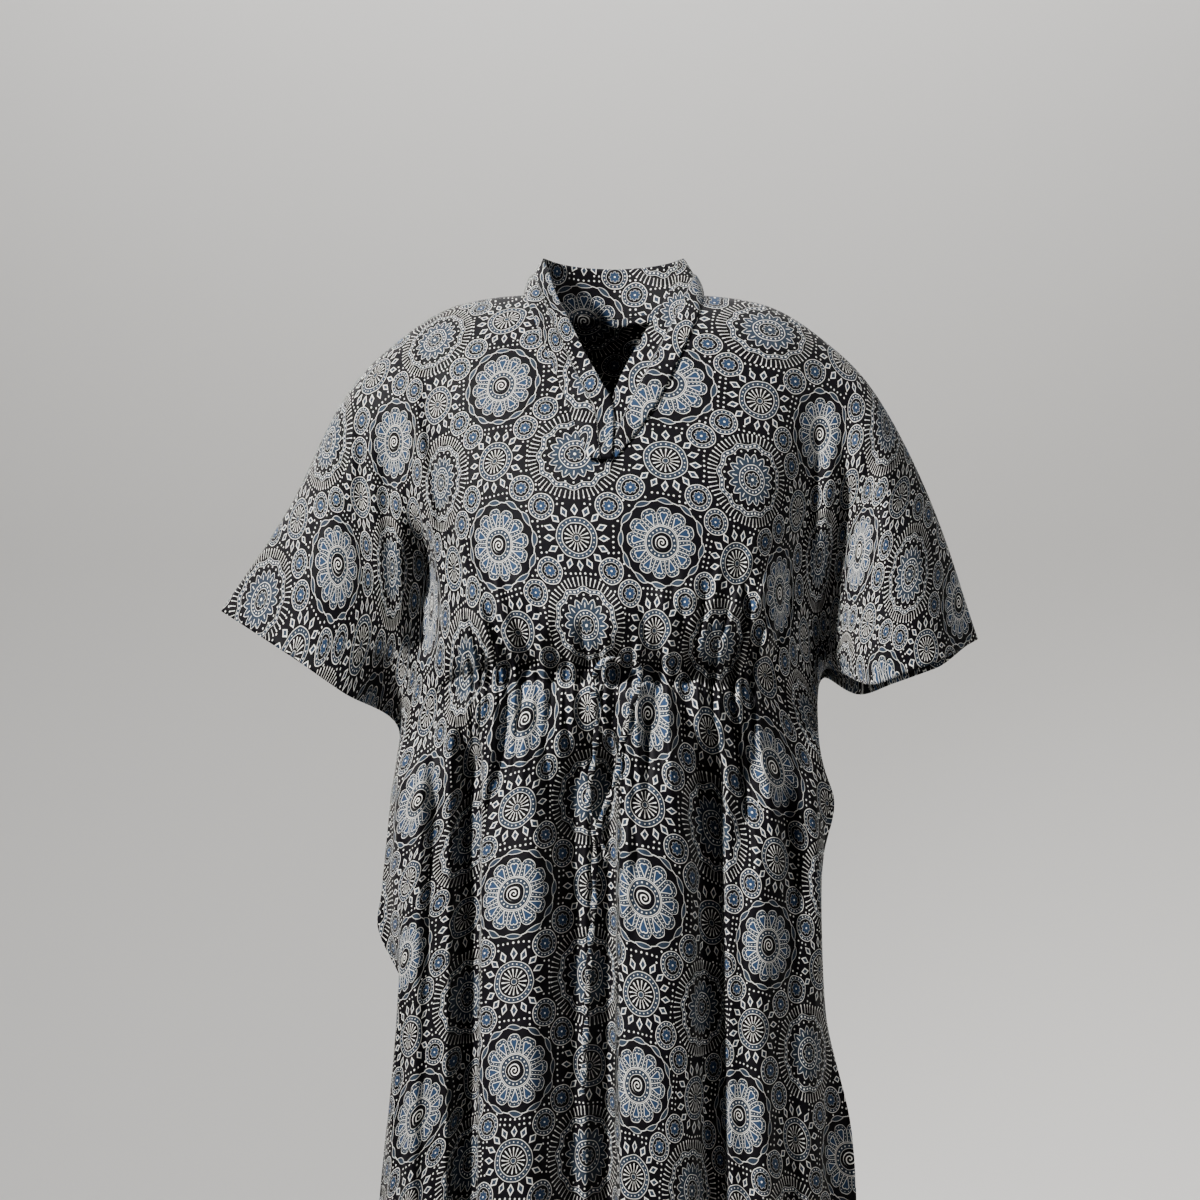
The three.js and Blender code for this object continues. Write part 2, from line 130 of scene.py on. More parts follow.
# The outer edge on each side: sleeve hem, underarm, side seam, then the open slit.
# Columns: down the cloth, x, z, how far it hangs behind the middle, how far each layer stands off it.
LEFT_EDGE = [
    (0, -377, -296, 4, 9),
    (97, -306, -337, 0, 54),
    (172, -254, -373, -2, 52),
    (240, -207, -407, 4, SEAMED),
    (314, -213, -475, 4, SEAMED),
    (418, -222, -570, -3, SEAMED),
    (454, -225, -603, -4, SEAMED),
    (519, -199, -662, 0, SEAMED),
    (560, -200, -700, 2, 2),
    (668, -216, -798, 2, 12),
    (834, -230, -950, -2, 14),
    (1042, -246, -1140, 2, 15),
    (1250, -262, -1330, 4, 16),
]
RIGHT_EDGE = [
    (0, 354, -323, 0, 9),
    (63, 316, -340, -6, 46),
    (124, 278, -354, -10, 56),
    (178, 244, -365, -8, 50),
    (240, 205, -353, 2, SEAMED),
    (324, 200, -432, 2, SEAMED),
    (373, 215, -480, -2, SEAMED),
    (427, 205, -532, 1, SEAMED),
    (525, 200, -627, 2, SEAMED),
    (600, 209, -700, 0, 2),
    (700, 231, -797, -3, 10),
    (860, 238, -950, -2, 13),
    (1054, 250, -1140, 2, 15),
    (1250, 262, -1330, -2, 16),
]

# Large folds in the front view, as ridges (out above 0) and troughs (out below 0).
# Columns: x and z of the start, x and z of the end, half width, how far out, how square its walls are.
FRONT_FOLDS = [
    (-190, -410, -214, -1400, 20, 33, 4.0),
    (-170, -410, -190, -1400, 17, 12, 2.0),
    (-136, -390, -146, -1400, 15, -42, 6.0),
    (-86, -400, -98, -1400, 33, 12, 3.0),
    (-27, -388, -32, -1400, 34, -28, 5.0),
    (-8, -400, -12, -1400, 17, -26, 4.0),
    (-40, -420, -42, -1400, 12, -7, 2.4),
    (38, -400, 46, -1400, 30, 10, 3.0),
    (88, -390, 98, -1400, 17, -34, 5.0),
    (112, -400, 126, -1400, 20, -10, 2.2),
    (146, -410, 160, -1400, 24, 10, 2.4),
    (184, -430, 200, -1400, 17, 15, 3.0),
    (232, -140, 202, -350, 22, -20, 2.0),
    (-178, -190, -184, -350, 20, -17, 2.0),
    (-184, -20, -160, -320, 14, 6, 2.0),
    (-86, -230, -94, -346, 14, 7, 2.0),
    (6, -250, 2, -346, 14, 5, 2.0),
    (70, -240, 82, -346, 14, 7, 2.0),
    (132, -220, 148, -352, 15, 7, 2.0),
]
BACK_FOLDS = [
    (-150, -400, -164, -1400, 28, -24, 2.6),
    (-96, -400, -108, -1400, 28, 12, 2.0),
    (-44, -400, -50, -1400, 24, -16, 2.6),
    (8, -400, 6, -1400, 28, 13, 2.0),
    (58, -400, 66, -1400, 22, -16, 2.6),
    (106, -400, 122, -1400, 26, 12, 2.0),
    (154, -410, 172, -1400, 24, -18, 2.6),
    (-212, -150, -182, -350, 22, -12, 2.0),
    (212, -150, 182, -350, 22, -12, 2.0),
    (-70, -200, -52, -346, 16, 7, 2.0),
    (66, -190, 50, -346, 16, 7, 2.0),
]

# Smaller creases, placed in the front view, each a bent line over a middle point.
# Columns: x, z, middle x, middle z, end x, end z, half width, how far out.
FRONT_CREASES = [
    (-182, -20, -174, -110, -170, -190, 7, -6), (-172, -120, -168, -170, -158, -250, 6, -5),
    (-160, -180, -150, -250, -120, -320, 8, -7), (-182, -212, -178, -260, -160, -316, 8, -8),
    (-258, -106, -256, -140, -252, -180, 6, -4), (-240, -95, -238, -150, -236, -205, 7, -5),
    (-232, -120, -228, -200, -214, -300, 9, 4), (-200, -150, -206, -230, -196, -330, 8, 5),
    (264, -80, 266, -110, 262, -138, 5, -5), (240, -110, 234, -170, 222, -250, 9, 5),
    (258, -100, 262, -200, 250, -290, 12, 4), (196, -120, 188, -200, 170, -280, 9, -4),
    (212, -100, 206, -190, 196, -290, 8, 5), (-112, -248, -104, -296, -98, -340, 6, 4),
    (-100, -262, -88, -310, -78, -344, 5, -4), (-132, -240, -112, -300, -92, -342, 5, -4),
    (-144, -262, -118, -316, -100, -346, 5, 4), (-60, -290, -62, -320, -64, -346, 5, 3),
    (-30, -300, -28, -326, -26, -346, 4, -3), (28, -286, 30, -320, 32, -346, 5, -3),
    (44, -262, 50, -306, 56, -346, 6, 4), (94, -280, 98, -316, 102, -350, 5, 4),
    (86, -266, 82, -310, 80, -348, 5, -4), (120, -250, 126, -306, 130, -352, 5, -5),
    (160, -252, 152, -306, 140, -352, 6, 5), (176, -270, 160, -320, 146, -358, 5, -5),
    (-118, -396, -124, -470, -136, -560, 7, 5), (-98, -380, -104, -430, -106, -500, 6, -5),
    (-82, -376, -84, -420, -84, -470, 5, 4), (-66, -378, -64, -440, -62, -540, 6, -6),
    (-50, -376, -48, -420, -46, -470, 5, 4), (-8, -378, -2, -430, 2, -510, 6, -4),
    (16, -376, 14, -450, 12, -640, 6, 7), (30, -380, 30, -420, 32, -470, 5, -4),
    (50, -376, 54, -420, 56, -470, 5, 4), (62, -380, 70, -450, 78, -560, 6, -5),
    (98, -384, 104, -440, 110, -520, 6, 5), (116, -386, 124, -440, 134, -530, 6, -5),
    (134, -388, 150, -450, 160, -560, 7, 5), (150, -420, 168, -480, 176, -600, 7, -5),
    (12, -640, 14, -900, 16, -1180, 8, 5), (-62, -560, -64, -800, -70, -1100, 8, -4),
    (150, -640, 160, -800, 170, -1000, 10, -6), (196, -480, 198, -560, 204, -660, 8, 6),
    (-196, -420, -200, -500, -204, -600, 9, -5), (-190, -640, -200, -760, -206, -900, 9, -6),
]
BACK_CREASES = [
    (-176, -30, -170, -120, -164, -200, 7, -5), (-150, -190, -130, -260, -104, -330, 8, -6),
    (172, -40, 166, -130, 160, -210, 7, -5), (146, -200, 126, -270, 104, -334, 8, -6),
    (-236, -110, -230, -180, -216, -280, 9, 5), (238, -120, 230, -190, 214, -290, 9, 5),
    (-112, -392, -120, -460, -128, -560, 7, 5), (-84, -384, -88, -450, -90, -560, 6, -5),
    (-20, -384, -18, -440, -16, -530, 6, 5), (36, -384, 38, -450, 40, -560, 6, -5),
    (82, -384, 88, -440, 92, -520, 6, 5), (124, -390, 132, -460, 140, -560, 7, -5),
    (-10, -600, -12, -820, -14, -1100, 9, 5), (90, -620, 94, -840, 98, -1120, 9, -5),
    (-70, -620, -72, -840, -76, -1120, 9, 5),
]

# Gathers on the drawstring, front: where each little pleat crosses the casing, how deep it is,
# and how far it reaches up and down.
FRONT_PLEATS = [
    (-0.378, 3.4, 30, 60), (-0.346, 5.6, 56, 96), (-0.327, 3.6, 30, 50), (-0.291, 6.2, 70, 118),
    (-0.272, 4.4, 34, 48), (-0.236, 5.8, 40, 92), (-0.189, 2.6, 28, 44), (-0.163, 4.8, 52, 76),
    (-0.121, 2.4, 24, 40), (-0.094, 4.2, 30, 96), (-0.043, 2.6, 24, 50), (-0.015, 4.6, 38, 88),
    (0.034, 2.4, 22, 40), (0.06, 4.8, 30, 126), (0.079, 3.0, 40, 46), (0.131, 5.0, 58, 94),
    (0.154, 3.2, 26, 44), (0.205, 5.8, 68, 108), (0.224, 4.2, 34, 56), (0.262, 6.0, 76, 100),
    (0.281, 4.8, 40, 52), (0.322, 6.4, 84, 116), (0.343, 4.6, 36, 60), (0.382, 3.8, 40, 66),
]
BACK_PLEATS = [
    (-0.36, 4.2, 40, 80), (-0.312, 4.8, 50, 90), (-0.268, 4.0, 36, 60), (-0.216, 5.0, 48, 90),
    (-0.168, 3.8, 34, 60), (-0.118, 4.6, 42, 84), (-0.066, 3.8, 34, 60), (-0.014, 4.8, 44, 90),
    (0.036, 3.8, 34, 60), (0.086, 4.8, 44, 84), (0.138, 3.8, 36, 60), (0.19, 5.0, 48, 90),
    (0.238, 4.0, 36, 60), (0.284, 4.8, 46, 84), (0.33, 4.2, 40, 64), (0.372, 3.8, 36, 60),
]
PLEAT_HALF = 0.0095
PLEAT_DEPTH = 2.2
CREASE_DEPTH = 2.0

# Where motif centres lie on the front in the front view: for each upright line of motifs, x, z and along.
# across and along count half repeats of the print: flowers where both are even, sunbursts where both are
# odd, wheels elsewhere.
PRINT_LAY = {
    0: [
        (-104, -82, 0), (-114, -153, 1), (-114, -232, 2), (-83, -309, 3), (-79, -394, 4),
        (-87, -477, 5), (-88, -564, 6), (-90, -651, 7), (-93, -733, 8), (-90, -819, 9), (-102, -19, -1),
    ],
    1: [
        (-34, -147, 1), (-33, -228, 2), (-22, -310, 3), (-22, -389, 4), (-25, -473, 5), (-21, -558, 6),
        (-23, -640, 7), (-23, -727, 8), (-26, -806, 9),
    ],
    2: [
        (50, -79, 0), (50, -152, 1), (48, -228, 2), (40, -315, 3), (36, -397, 4), (31, -482, 5),
        (30, -568, 6), (27, -657, 7), (27, -741, 8), (25, -828, 9),
    ],
    3: [
        (147, -33, -1), (139, -98, 0), (136, -173, 1), (120, -252, 2), (95, -325, 3), (88, -406, 4),
        (104, -504, 5), (100, -596, 6), (87, -675, 7),
    ],
    4: [
        (225, -57, -1), (199, -125, 0), (184, -195, 1), (163, -280, 2), (150, -452, 4), (152, -532, 5),
        (146, -610, 6), (131, -691, 7), (116, -770, 8),
    ],
    5: [
        (229, -179, 0), (196, -237, 1), (198, -634, 6), (189, -716, 7), (172, -797, 8),
    ],
    6: [(228, -816, 8), (266, -192, -1), (232, -225, 0)],
    7: [(283, -275, -1)],
    8: [(303, -337, -1), (244, -353, 0)],
    -1: [
        (-167, -41, -1), (-163, -100, 0), (-167, -174, 1), (-152, -256, 2), (-144, -368, 3),
        (-142, -512, 5), (-142, -664, 7), (-142, -817, 9),
    ],
    -2: [
        (-226, -67, -1), (-205, -127, 0), (-190, -204, 1), (-170, -278, 2), (-175, -475, 4),
        (-172, -774, 8),
    ],
    -3: [(-268, -145, -1), (-237, -181, 0), (-205, -247, 1)],
    -4: [(-300, -215, -1), (-253, -247, 0)],
    -5: [(-338, -291, -1), (-286, -324, 0)],
}
# Places beside the side edges, where the spacing of the cloth itself holds the print. No motif centre need
# lie there. Columns: x, z, across, along.
PRINT_EDGES = [
    (-207, -405, -2.95, 2.9),
    (-213, -475, -2.75, 3.65),
    (-222, -620, -2.75, 5.6),
    (-222, -774, -2.8, 7.6),
    (-232, -1000, -2.9, 10.3),
    (200, -400, 5.1, 3),
    (206, -460, 5, 3.8),
    (205, -540, 5, 4.8),
]
REPEAT = 168

# The panel's cloth as it is laid flat: where its rows and columns are, how often its lengths are put right,
# what share of the folds it takes up, how often it is evened out first, how loosely the print's tables hold,
# and the plane that their x and z are on
LAY_ACROSS = np.linspace(-1, 1, 121)
LAY_DOWN = np.concatenate([[0, 0.4, 1.5, 3.5, 6.5, 10.5, 15.5, 21.5], np.linspace(29, PANEL_LENGTH, 80)])
LAY_PASSES = 600
LAY_FOLDS = 0.62
LAY_EVEN = 8
LAY_LOOSE = 1.5
VIEW_PLANE = -49

# Neckbands in the front view, from the shoulder to the point of the neck.
# Columns: x and z of the seam, x and z of the open edge, and the depth of the open edge where it stands.
LEFT_BAND = [
    (-84, 10, -66, 44, -1),
    (-76, -12, -60, 30, -15),
    (-67, -38, -53, 8, -32),
    (-57, -62, -40, -20, -54),
    (-49, -82, -26, -50, -71),
    (-42, -101, -11, -79, None),
    (-34, -123, 1, -104, None),
    (-23, -154, 0, -154, None),
]
RIGHT_BAND = [
    (89, 10, 70, 44, -1),
    (84, -10, 65, 34, -13),
    (77, -27, 56, 12, -29),
    (69, -46, 43, -12, -49),
    (58, -70, 27, -40, -67),
    (45, -96, 12, -68, -80),
    (30, -120, 1, -95, None),
    (4, -153, -9, -142, None),
]
BAND_LIFT = 1.9
PLACKET_LIFT = 2.8
PLACKET_FROM = -72
PLACKET_FULL = -96
BAND_STEPS = 14
BAND_ACROSS = [0, 0.04, 0.1, 0.2, 0.3, 0.38, 0.42, 0.445, 0.47, 0.5, 0.56, 0.64, 0.72, 0.8, 0.88, 0.94, 1]
BAND_LIFTS = [0, 0.5, 0.6, 0.5, 0.5, 0.45, 0.4, 1.2, 2.4, 2.8, 2.7, 2.6, 2.5, 2.2, 1.6, 0.9, 0.2]

TUCK_FROM = 8
TUCK_SHIFT = (0.061, 0.028)
BAND_PRINT = {"left": (0.021, 0.043), "right": (0.057, -0.018)}

BACK_NECK = [(-84, 10), (-62, -3), (0, -13), (66, -3), (89, 10)]
COLLAR_STEPS = 96
COLLAR_ROWS = 12
COLLAR_TOP_LEFT = -66
COLLAR_TOP_RIGHT = 70
COLLAR_TOP_BACK = 62
COLLAR_TOP_Z = 50
COLLAR_BACK_DIP = 8
COLLAR_CORNER = 6
COLLAR_PRINT = (0.03, 0.06)

# The two free ends of the drawstring: points down the front, then the flat tie's width and thickness, the
# length of one twist, and the steps and sides that it is made with
LONG_TIE = [
    (8, -111.9, -341), (-3, -111.6, -339), (-12, -109.5, -347), (-18, -108.5, -362),
    (-16, -110, -382), (-14, -110.5, -404), (-16, -109, -428), (-20, -107.5, -452),
    (-22, -107, -472), (-17, -108.5, -492), (-16, -110, -510), (-16, -111.5, -540),
    (-17, -113, -572), (-20, -114, -604), (-22, -115, -636), (-23, -116, -664), (-25, -117.5, -704),
    (-27, -119, -742),
]
SHORT_TIE = [
    (21, -108.7, -341), (26, -105, -351), (25, -105.5, -366), (19, -109, -384), (13, -110, -402),
    (8, -112, -426), (4, -113.5, -450), (-3, -114.5, -470), (-10, -115, -486), (-12, -115, -499),
    (-9, -114.5, -511), (-4, -115, -526),
]
TIE_WIDTH = 6.4
TIE_THICK = 3.0
TIE_TURN = 62
TIE_STEP = 1.6
TIE_SIDES = 12


def through(places, values, at):
    """A smooth curve through values at given places. values may hold one row for each place asked for."""
    places = np.asarray(places, float)
    values = np.asarray(values, float)
    at = np.asarray(at, float)
    last = len(places) - 1
    values = np.broadcast_to(values, at.shape + (last + 1,))
    before = np.maximum(np.arange(last + 1) - 1, 0)
    after = np.minimum(np.arange(last + 1) + 1, last)
    slopes = (values[..., after] - values[..., before]) / (places[after] - places[before])
    i = np.clip(np.searchsorted(places, at, side="left") - 1, 0, last - 1)

    def pick(rows, k):
        return np.take_along_axis(rows, k[..., None], -1)[..., 0]

    span = places[i + 1] - places[i]
    f = np.clip((at - places[i]) / span, 0, 1)
    start = pick(values, i) * (1 + 2 * f) * (1 - f) ** 2 + pick(slopes, i) * span * f * (1 - f) ** 2
    end = pick(values, i + 1) * f * f * (3 - 2 * f) + pick(slopes, i + 1) * span * f * f * (f - 1)
    return start + end


def smooth(start, end, at):
    f = np.clip((np.asarray(at, float) - start) / (end - start), 0, 1)
    return f * f * (3 - 2 * f)


def columns(rows, k):
    return [row[k] for row in rows]


def folds_at(folds, x, z):
    out = np.zeros_like(x)
    for x0, z0, x1, z1, half, far, square in folds:
        f = (z - z0) / (z1 - z0)
        lean = x0 + (x1 - x0) * f
        off = np.abs(x - lean) / half
        ends = smooth(z0, z0 - FOLD_END, z) * smooth(z1, z1 + FOLD_END / 2, z)
        shape = np.exp(-2 * np.minimum(off, 3) ** square)
        out += np.where((f >= 0) & (f <= 1), far * ends * shape, 0)
    return out


def creases_at(creases, x, z):
    """Soft creases along bent lines, fading to nothing at both ends."""
    out = np.zeros_like(x)
    for x0, z0, xm, zm, x1, z1, half, far in creases:
        near = np.full(x.shape, 1e9)
        place = np.zeros_like(x)
        for k in range(17):
            f = k / 16
            a = (1 - f) ** 2
            b = 2 * f * (1 - f)
            px = a * x0 + b * xm + f * f * x1
            pz = a * z0 + b * zm + f * f * z1
            d = (x - px) ** 2 + ((z - pz) * 0.6) ** 2
            closer = d < near
            near = np.where(closer, d, near)
            place = np.where(closer, f, place)
        fade = np.sin(np.pi * np.clip(place, 0.02, 0.98)) ** 0.7
        out += far * fade * np.exp(-near / half**2)
    return out


def pleats_at(pleats, across, down):
    out = np.zeros_like(across)
    for place, deep, up, low in pleats:
        reach = np.where(down < CASING_DOWN, up, low)
        lean = place * (1 + 0.0006 * np.maximum(down - CASING_DOWN, 0))
        fade = np.exp(-(((down - CASING_DOWN) / reach) ** 2))
        out += PLEAT_DEPTH * deep * fade * np.exp(-(((across - lean) / PLEAT_HALF) ** 2))
    return out


def panel_point(side, across, down, fine=True, share=1.0):
    """Points on the middle of the front or back. across runs from -1 at the left edge to 1 at the right."""
    across, down = np.broadcast_arrays(np.asarray(across, float), np.asarray(down, float))
    front = side == "front"
    right = across >= 0
    out = np.abs(across)

    def edge(k):
        on_right = through(columns(RIGHT_EDGE, 0), columns(RIGHT_EDGE, k), down)
        on_left = through(columns(LEFT_EDGE, 0), columns(LEFT_EDGE, k), down)
        return np.where(right, on_right, on_left)

    def line(sections, at_edge, mirror):
        at = [through(SECTION_DOWN, columns(sections, k), down) for k in range(len(STATIONS))]
        values = np.stack([at[1] * mirror, *at, at_edge], -1)
        return through([-STATIONS[1], *STATIONS, 1], values, out)

    hang = edge(3) * smooth(HANG_FROM, 1, out)
    x = line(SECTION_X, np.abs(edge(1)), -1) * np.where(right, 1, -1)
    z = line(SECTION_Z, edge(2), 1)
    depth = line(SECTION_FRONT if front else SECTION_BACK, edge(4), 1)
    if not front:
        sleeve = smooth(0.55, 0.85, out) * smooth(290, 200, down) * smooth(0, 60, down)
        z = z - np.where(right, SLEEVE_BACK_DROP * sleeve, 0)
    waist = smooth(0.62, 0.38, out)
    depth = depth + waist * BLOUSE_OUT * np.exp(-(((down - BLOUSE_DOWN) / BLOUSE_REACH) ** 2))
    depth = depth - waist * CASING_PINCH * np.exp(-(((down - CASING_DOWN) / (CASING_HALF * 2)) ** 2))
    seamed = (down > SEAM_FROM) & (down < SEAM_TO)
    held = np.where(seamed, smooth(1, 0.9, out), 1)
    folds = share * held * folds_at(FRONT_FOLDS if front else BACK_FOLDS, x, z)
    depth = depth + folds
    if fine:
        x = x - FOLD_LEAN * np.minimum(folds, 0) * smooth(1, 0.9, out)
        creases = creases_at(FRONT_CREASES if front else BACK_CREASES, x, z)
        near_edge = smooth(1, 0.9, out)
        depth = depth + CREASE_DEPTH * creases * near_edge
        depth = depth + pleats_at(FRONT_PLEATS if front else BACK_PLEATS, across, down) - CASING_DRAW * waist
        off_cord = down - CASING_DOWN
        cord = np.exp(-((off_cord / CORD_HALF) ** 2))
        rows = sum(np.exp(-(((off_cord - row) / STITCH_HALF) ** 2)) for row in (STITCH_ROW, -STITCH_ROW))
        depth = depth + waist * (CORD_OUT * cord - STITCH_IN * rows)
        from_side = (1 - out) * np.where(down < SLEEVE_DEPTH, SLEEVE_CUT, BODY_CUT)
        hem = smooth(HEM + 0.8, HEM - 0.8, np.minimum(from_side, PANEL_LENGTH - down))
        depth = depth + np.where(seamed, 0, HEM_LIFT * hem)
    close = np.clip(1 - down / SHOULDER_ROUND, 0, 1)
    y = SEAM_GAP / 2 + np.maximum(depth, SEAMED) * np.sqrt(1 - close**2)
    sag = hang * np.sqrt(1 - close**2)
    return np.stack([x, sag + (-y if front else y), z], -1)


FRONT_NECK = [(row[0] + NECK_OVERLAP, row[1]) for row in LEFT_BAND]
FRONT_NECK += [(row[0] - NECK_OVERLAP, row[1]) for row in reversed(RIGHT_BAND)]
NECKS = {"front": FRONT_NECK, "back": BACK_NECK}


def neck_down(side, across):
    """Where each column starts: on the shoulder fold, or lower down on the neck edge."""
    neck = NECKS[side]
    down = np.zeros_like(across)
    inside = np.ones(across.shape, bool)
    for _ in range(14):
        p = panel_point(side, across, down, fine=False)
        inside &= (p[..., 0] >= neck[0][0]) & (p[..., 0] <= neck[-1][0])
        edge = np.interp(p[..., 0], columns(neck, 0), columns(neck, 1))
        down = np.where(inside, np.maximum(0, down + (p[..., 2] - edge) * 0.9), 0)
    return down


def on_panel(side, x, z):
    """The point of the front or back, and the way it faces, at places of the front view."""
    x = np.asarray(x, float)
    z = np.asarray(z, float)
    across = x / 570
    down = np.maximum(0.5, 10 - z)
    for _ in range(40):
        p = panel_point(side, across, down)
        across = across + ((x - p[..., 0]) / 570) * 0.8
        down = np.maximum(0.5, down + (p[..., 2] - z) * 0.8)
    p = panel_point(side, across, down)
    width = panel_point(side, across + 0.004, down) - panel_point(side, across - 0.004, down)
    fall = panel_point(side, across, down + 2) - panel_point(side, across, np.maximum(0, down - 2))
    facing = np.cross(fall, width) if side == "front" else np.cross(width, fall)
    return p, facing / np.linalg.norm(facing, axis=-1, keepdims=True)


def lay_of(grid):
    """Distances along the cloth of a grid, from its middle column and from its top row."""
    rows, cols = grid.shape[:2]
    width = np.linalg.norm(np.diff(grid, axis=1), axis=-1)
    width = np.concatenate([np.zeros((rows, 1)), np.cumsum(width, axis=1)], axis=1)
    width -= width[:, cols // 2 : cols // 2 + 1]
    fall = np.linalg.norm(np.diff(grid, axis=0), axis=-1)
    fall = np.concatenate([np.zeros((1, cols)), np.cumsum(fall, axis=0)], axis=0)
    return width, fall


def settle(values, passes):
    """Evens out a grid of values down its columns and keeps its ends."""
    for _ in range(passes):
        inner = values.copy()
        inner[1:-1] = (values[:-2] + 2 * values[1:-1] + values[2:]) / 4
        values = inner
    return values


def laid_flat(side):
    """A panel's plain form spread on a table, with the lengths between its points kept."""
    form = panel_point(side, LAY_ACROSS[None], LAY_DOWN[:, None], fine=False, share=LAY_FOLDS)
    width, _ = lay_of(form)
    table = np.stack([settle(width, LAY_EVEN), np.broadcast_to(LAY_DOWN[:, None], width.shape)], -1)
    ties = []
    for down, across in ((0, 1), (1, 0), (1, 1), (1, -1)):
        for odd in (0, 1):
            last_col = len(LAY_ACROSS) - max(across, 0)
            cols = slice(max(-across, 0), last_col, 1) if down else slice(odd, last_col, 2)
            first = (slice(odd, len(LAY_DOWN) - 1, 2) if down else slice(0, len(LAY_DOWN), 1), cols)
            second = tuple(
                slice(part.start + step, part.stop + step, part.step)
                for part, step in zip(first, (down, across))
            )
            rest = np.linalg.norm(form[second] - form[first], axis=-1, keepdims=True)
            ties.append((first, second, rest))
    for _ in range(LAY_PASSES):
        for first, second, rest in ties:
            gap = table[second] - table[first]
            size = np.maximum(np.linalg.norm(gap, axis=-1, keepdims=True), 1e-6)
            move = gap * (1 - rest / size) / 2
            table[first] += move
            table[second] -= move
    return table


def on_table(table, across, down):
    """The table's points at places of the panel, between its own rows and columns."""
    i = np.minimum(np.interp(across, LAY_ACROSS, np.arange(len(LAY_ACROSS))), len(LAY_ACROSS) - 1.001)
    j = np.minimum(np.interp(down, LAY_DOWN, np.arange(len(LAY_DOWN))), len(LAY_DOWN) - 1.001)
    i0 = i.astype(int)
    j0 = j.astype(int)
    f = (i - i0)[..., None]
    g = (j - j0)[..., None]
    upper = table[j0, i0] * (1 - f) + table[j0, i0 + 1] * f
    lower = table[j0 + 1, i0] * (1 - f) + table[j0 + 1, i0 + 1] * f
    return upper * (1 - g) + lower * g


def thin_plate(spots, values, at):
    """A smooth surface through values at scattered spots, sampled at other places."""

    def bend(d2):
        return d2 * np.log(np.maximum(d2, 1e-9))

    n = len(spots)
    gaps = ((spots[:, None] - spots[None]) ** 2).sum(-1) / 1e4
    flat = np.concatenate([np.ones((n, 1)), spots / 100], 1)
    system = np.zeros((n + 3, n + 3))
    system[:n, :n] = bend(gaps) + np.eye(n) * LAY_LOOSE
    system[:n, n:] = flat
    system[n:, :n] = flat.T
    weights = np.linalg.solve(system, np.concatenate([values, np.zeros((3, values.shape[1]))]))
    far = ((at[:, None] - spots[None]) ** 2).sum(-1) / 1e4
    return bend(far) @ weights[:n] + np.concatenate([np.ones((len(at), 1)), at / 100], 1) @ weights[n:]


def link(name, points, quads, cloth=None, patch=None, thickness=None):
    """Makes a mesh from millimetres, with its cloth map, and a wall if asked."""
    mesh = bpy.data.meshes.new(name)
    mesh.from_pydata((points * MM).tolist(), [], quads)
    mesh.update()
    mesh.polygons.foreach_set("use_smooth", [True] * len(mesh.polygons))
    corners = np.zeros(len(mesh.loops), int)
    mesh.loops.foreach_get("vertex_index", corners)
    for title, places in (("Cloth", cloth), ("OFBake", patch)):
        if places is not None:
            layer = mesh.uv_layers.new(name=title)
            layer.data.foreach_set("uv", places[corners].astype(np.float32).ravel())
    mesh.uv_layers["Cloth"].active_render = True
    piece = bpy.data.objects.new(name, mesh)
    bpy.context.scene.collection.objects.link(piece)
    if thickness:
        wall = piece.modifiers.new("wall", "SOLIDIFY")
        wall.thickness = thickness * MM
        wall.offset = 0
        wall.use_even_offset = False
    return piece


def grid_quads(rows, cols, flip=False):
    quads = []
    for j in range(rows - 1):
        for i in range(cols - 1):
            k = j * cols + i
            quad = (k, k + cols, k + cols + 1, k + 1)
            quads.append(quad[::-1] if flip else quad)
    return quads


def patch_map(rows, cols):
    u, v = np.meshgrid(np.linspace(0.002, 0.998, cols), np.linspace(0.998, 0.002, rows))
    return np.stack([u, v], -1).reshape(-1, 2)


# Rows and columns of the two large pieces: finest at the gathers and the casing
def spread(stops):
    places = []
    for (start, end, count) in stops:
        places += list(np.linspace(start, end, count, endpoint=False))
    return np.array(places + [stops[-1][1]])


PANEL_ACROSS = spread([(-1, -0.4, 56), (-0.4, 0.4, 192), (0.4, 1, 56)])
PANEL_DOWN = spread(
    [(0, 30, 10), (30, 300, 44), (300, 330, 8), (330, 392, 24), (392, 480, 18), (480, PANEL_LENGTH, 56)]
)


def panel_grid(side, fine=True):
    tops = neck_down(side, PANEL_ACROSS)
    share = np.minimum(1, PANEL_DOWN / NECK_ROWS_TO)[:, None]
    low = PANEL_DOWN[:, None]
    down = np.where(low < NECK_ROWS_TO, tops[None] + (NECK_ROWS_TO - tops[None]) * share, low)
    across = np.broadcast_to(PANEL_ACROSS, down.shape)
    return panel_point(side, across, down, fine), down


def view_places(points):
    """Where points appear in the front view, on a plane square to the camera."""
    far = CAMERA_Y - VIEW_PLANE
    scale = far / (CAMERA_Y - points[..., 1])
    x = CAMERA_X + (points[..., 0] - CAMERA_X) * scale
    return np.stack([x, CAMERA_Z + (points[..., 2] - CAMERA_Z) * scale], -1)


def print_map(side, grid, down, lay=None):
    """The print's own coordinates, in metres, for each point of a panel."""
    here = on_table(laid_flat(side), np.broadcast_to(PANEL_ACROSS, down.shape), down)
    if lay is None:
        lay = fit_lay(grid, here)
    spots, values = lay
    at = here.reshape(-1, 2)
    return thin_plate(spots, values, at) * MM, lay


def fit_lay(grid, here):
    seen = view_places(grid).reshape(-1, 2)
    flat = here.reshape(-1, 2)
    centres = [(x, z, across, along) for across, motifs in PRINT_LAY.items() for x, z, along in motifs]
    spots = []
    values = []
    for x, z, across, along in centres + PRINT_EDGES:
        nearest = np.argmin(((seen - (x, z)) ** 2).sum(-1))
        spots.append(flat[nearest])
        values.append((across * REPEAT / 2, -along * REPEAT / 2))
    return np.array(spots, float), np.array(values, float)


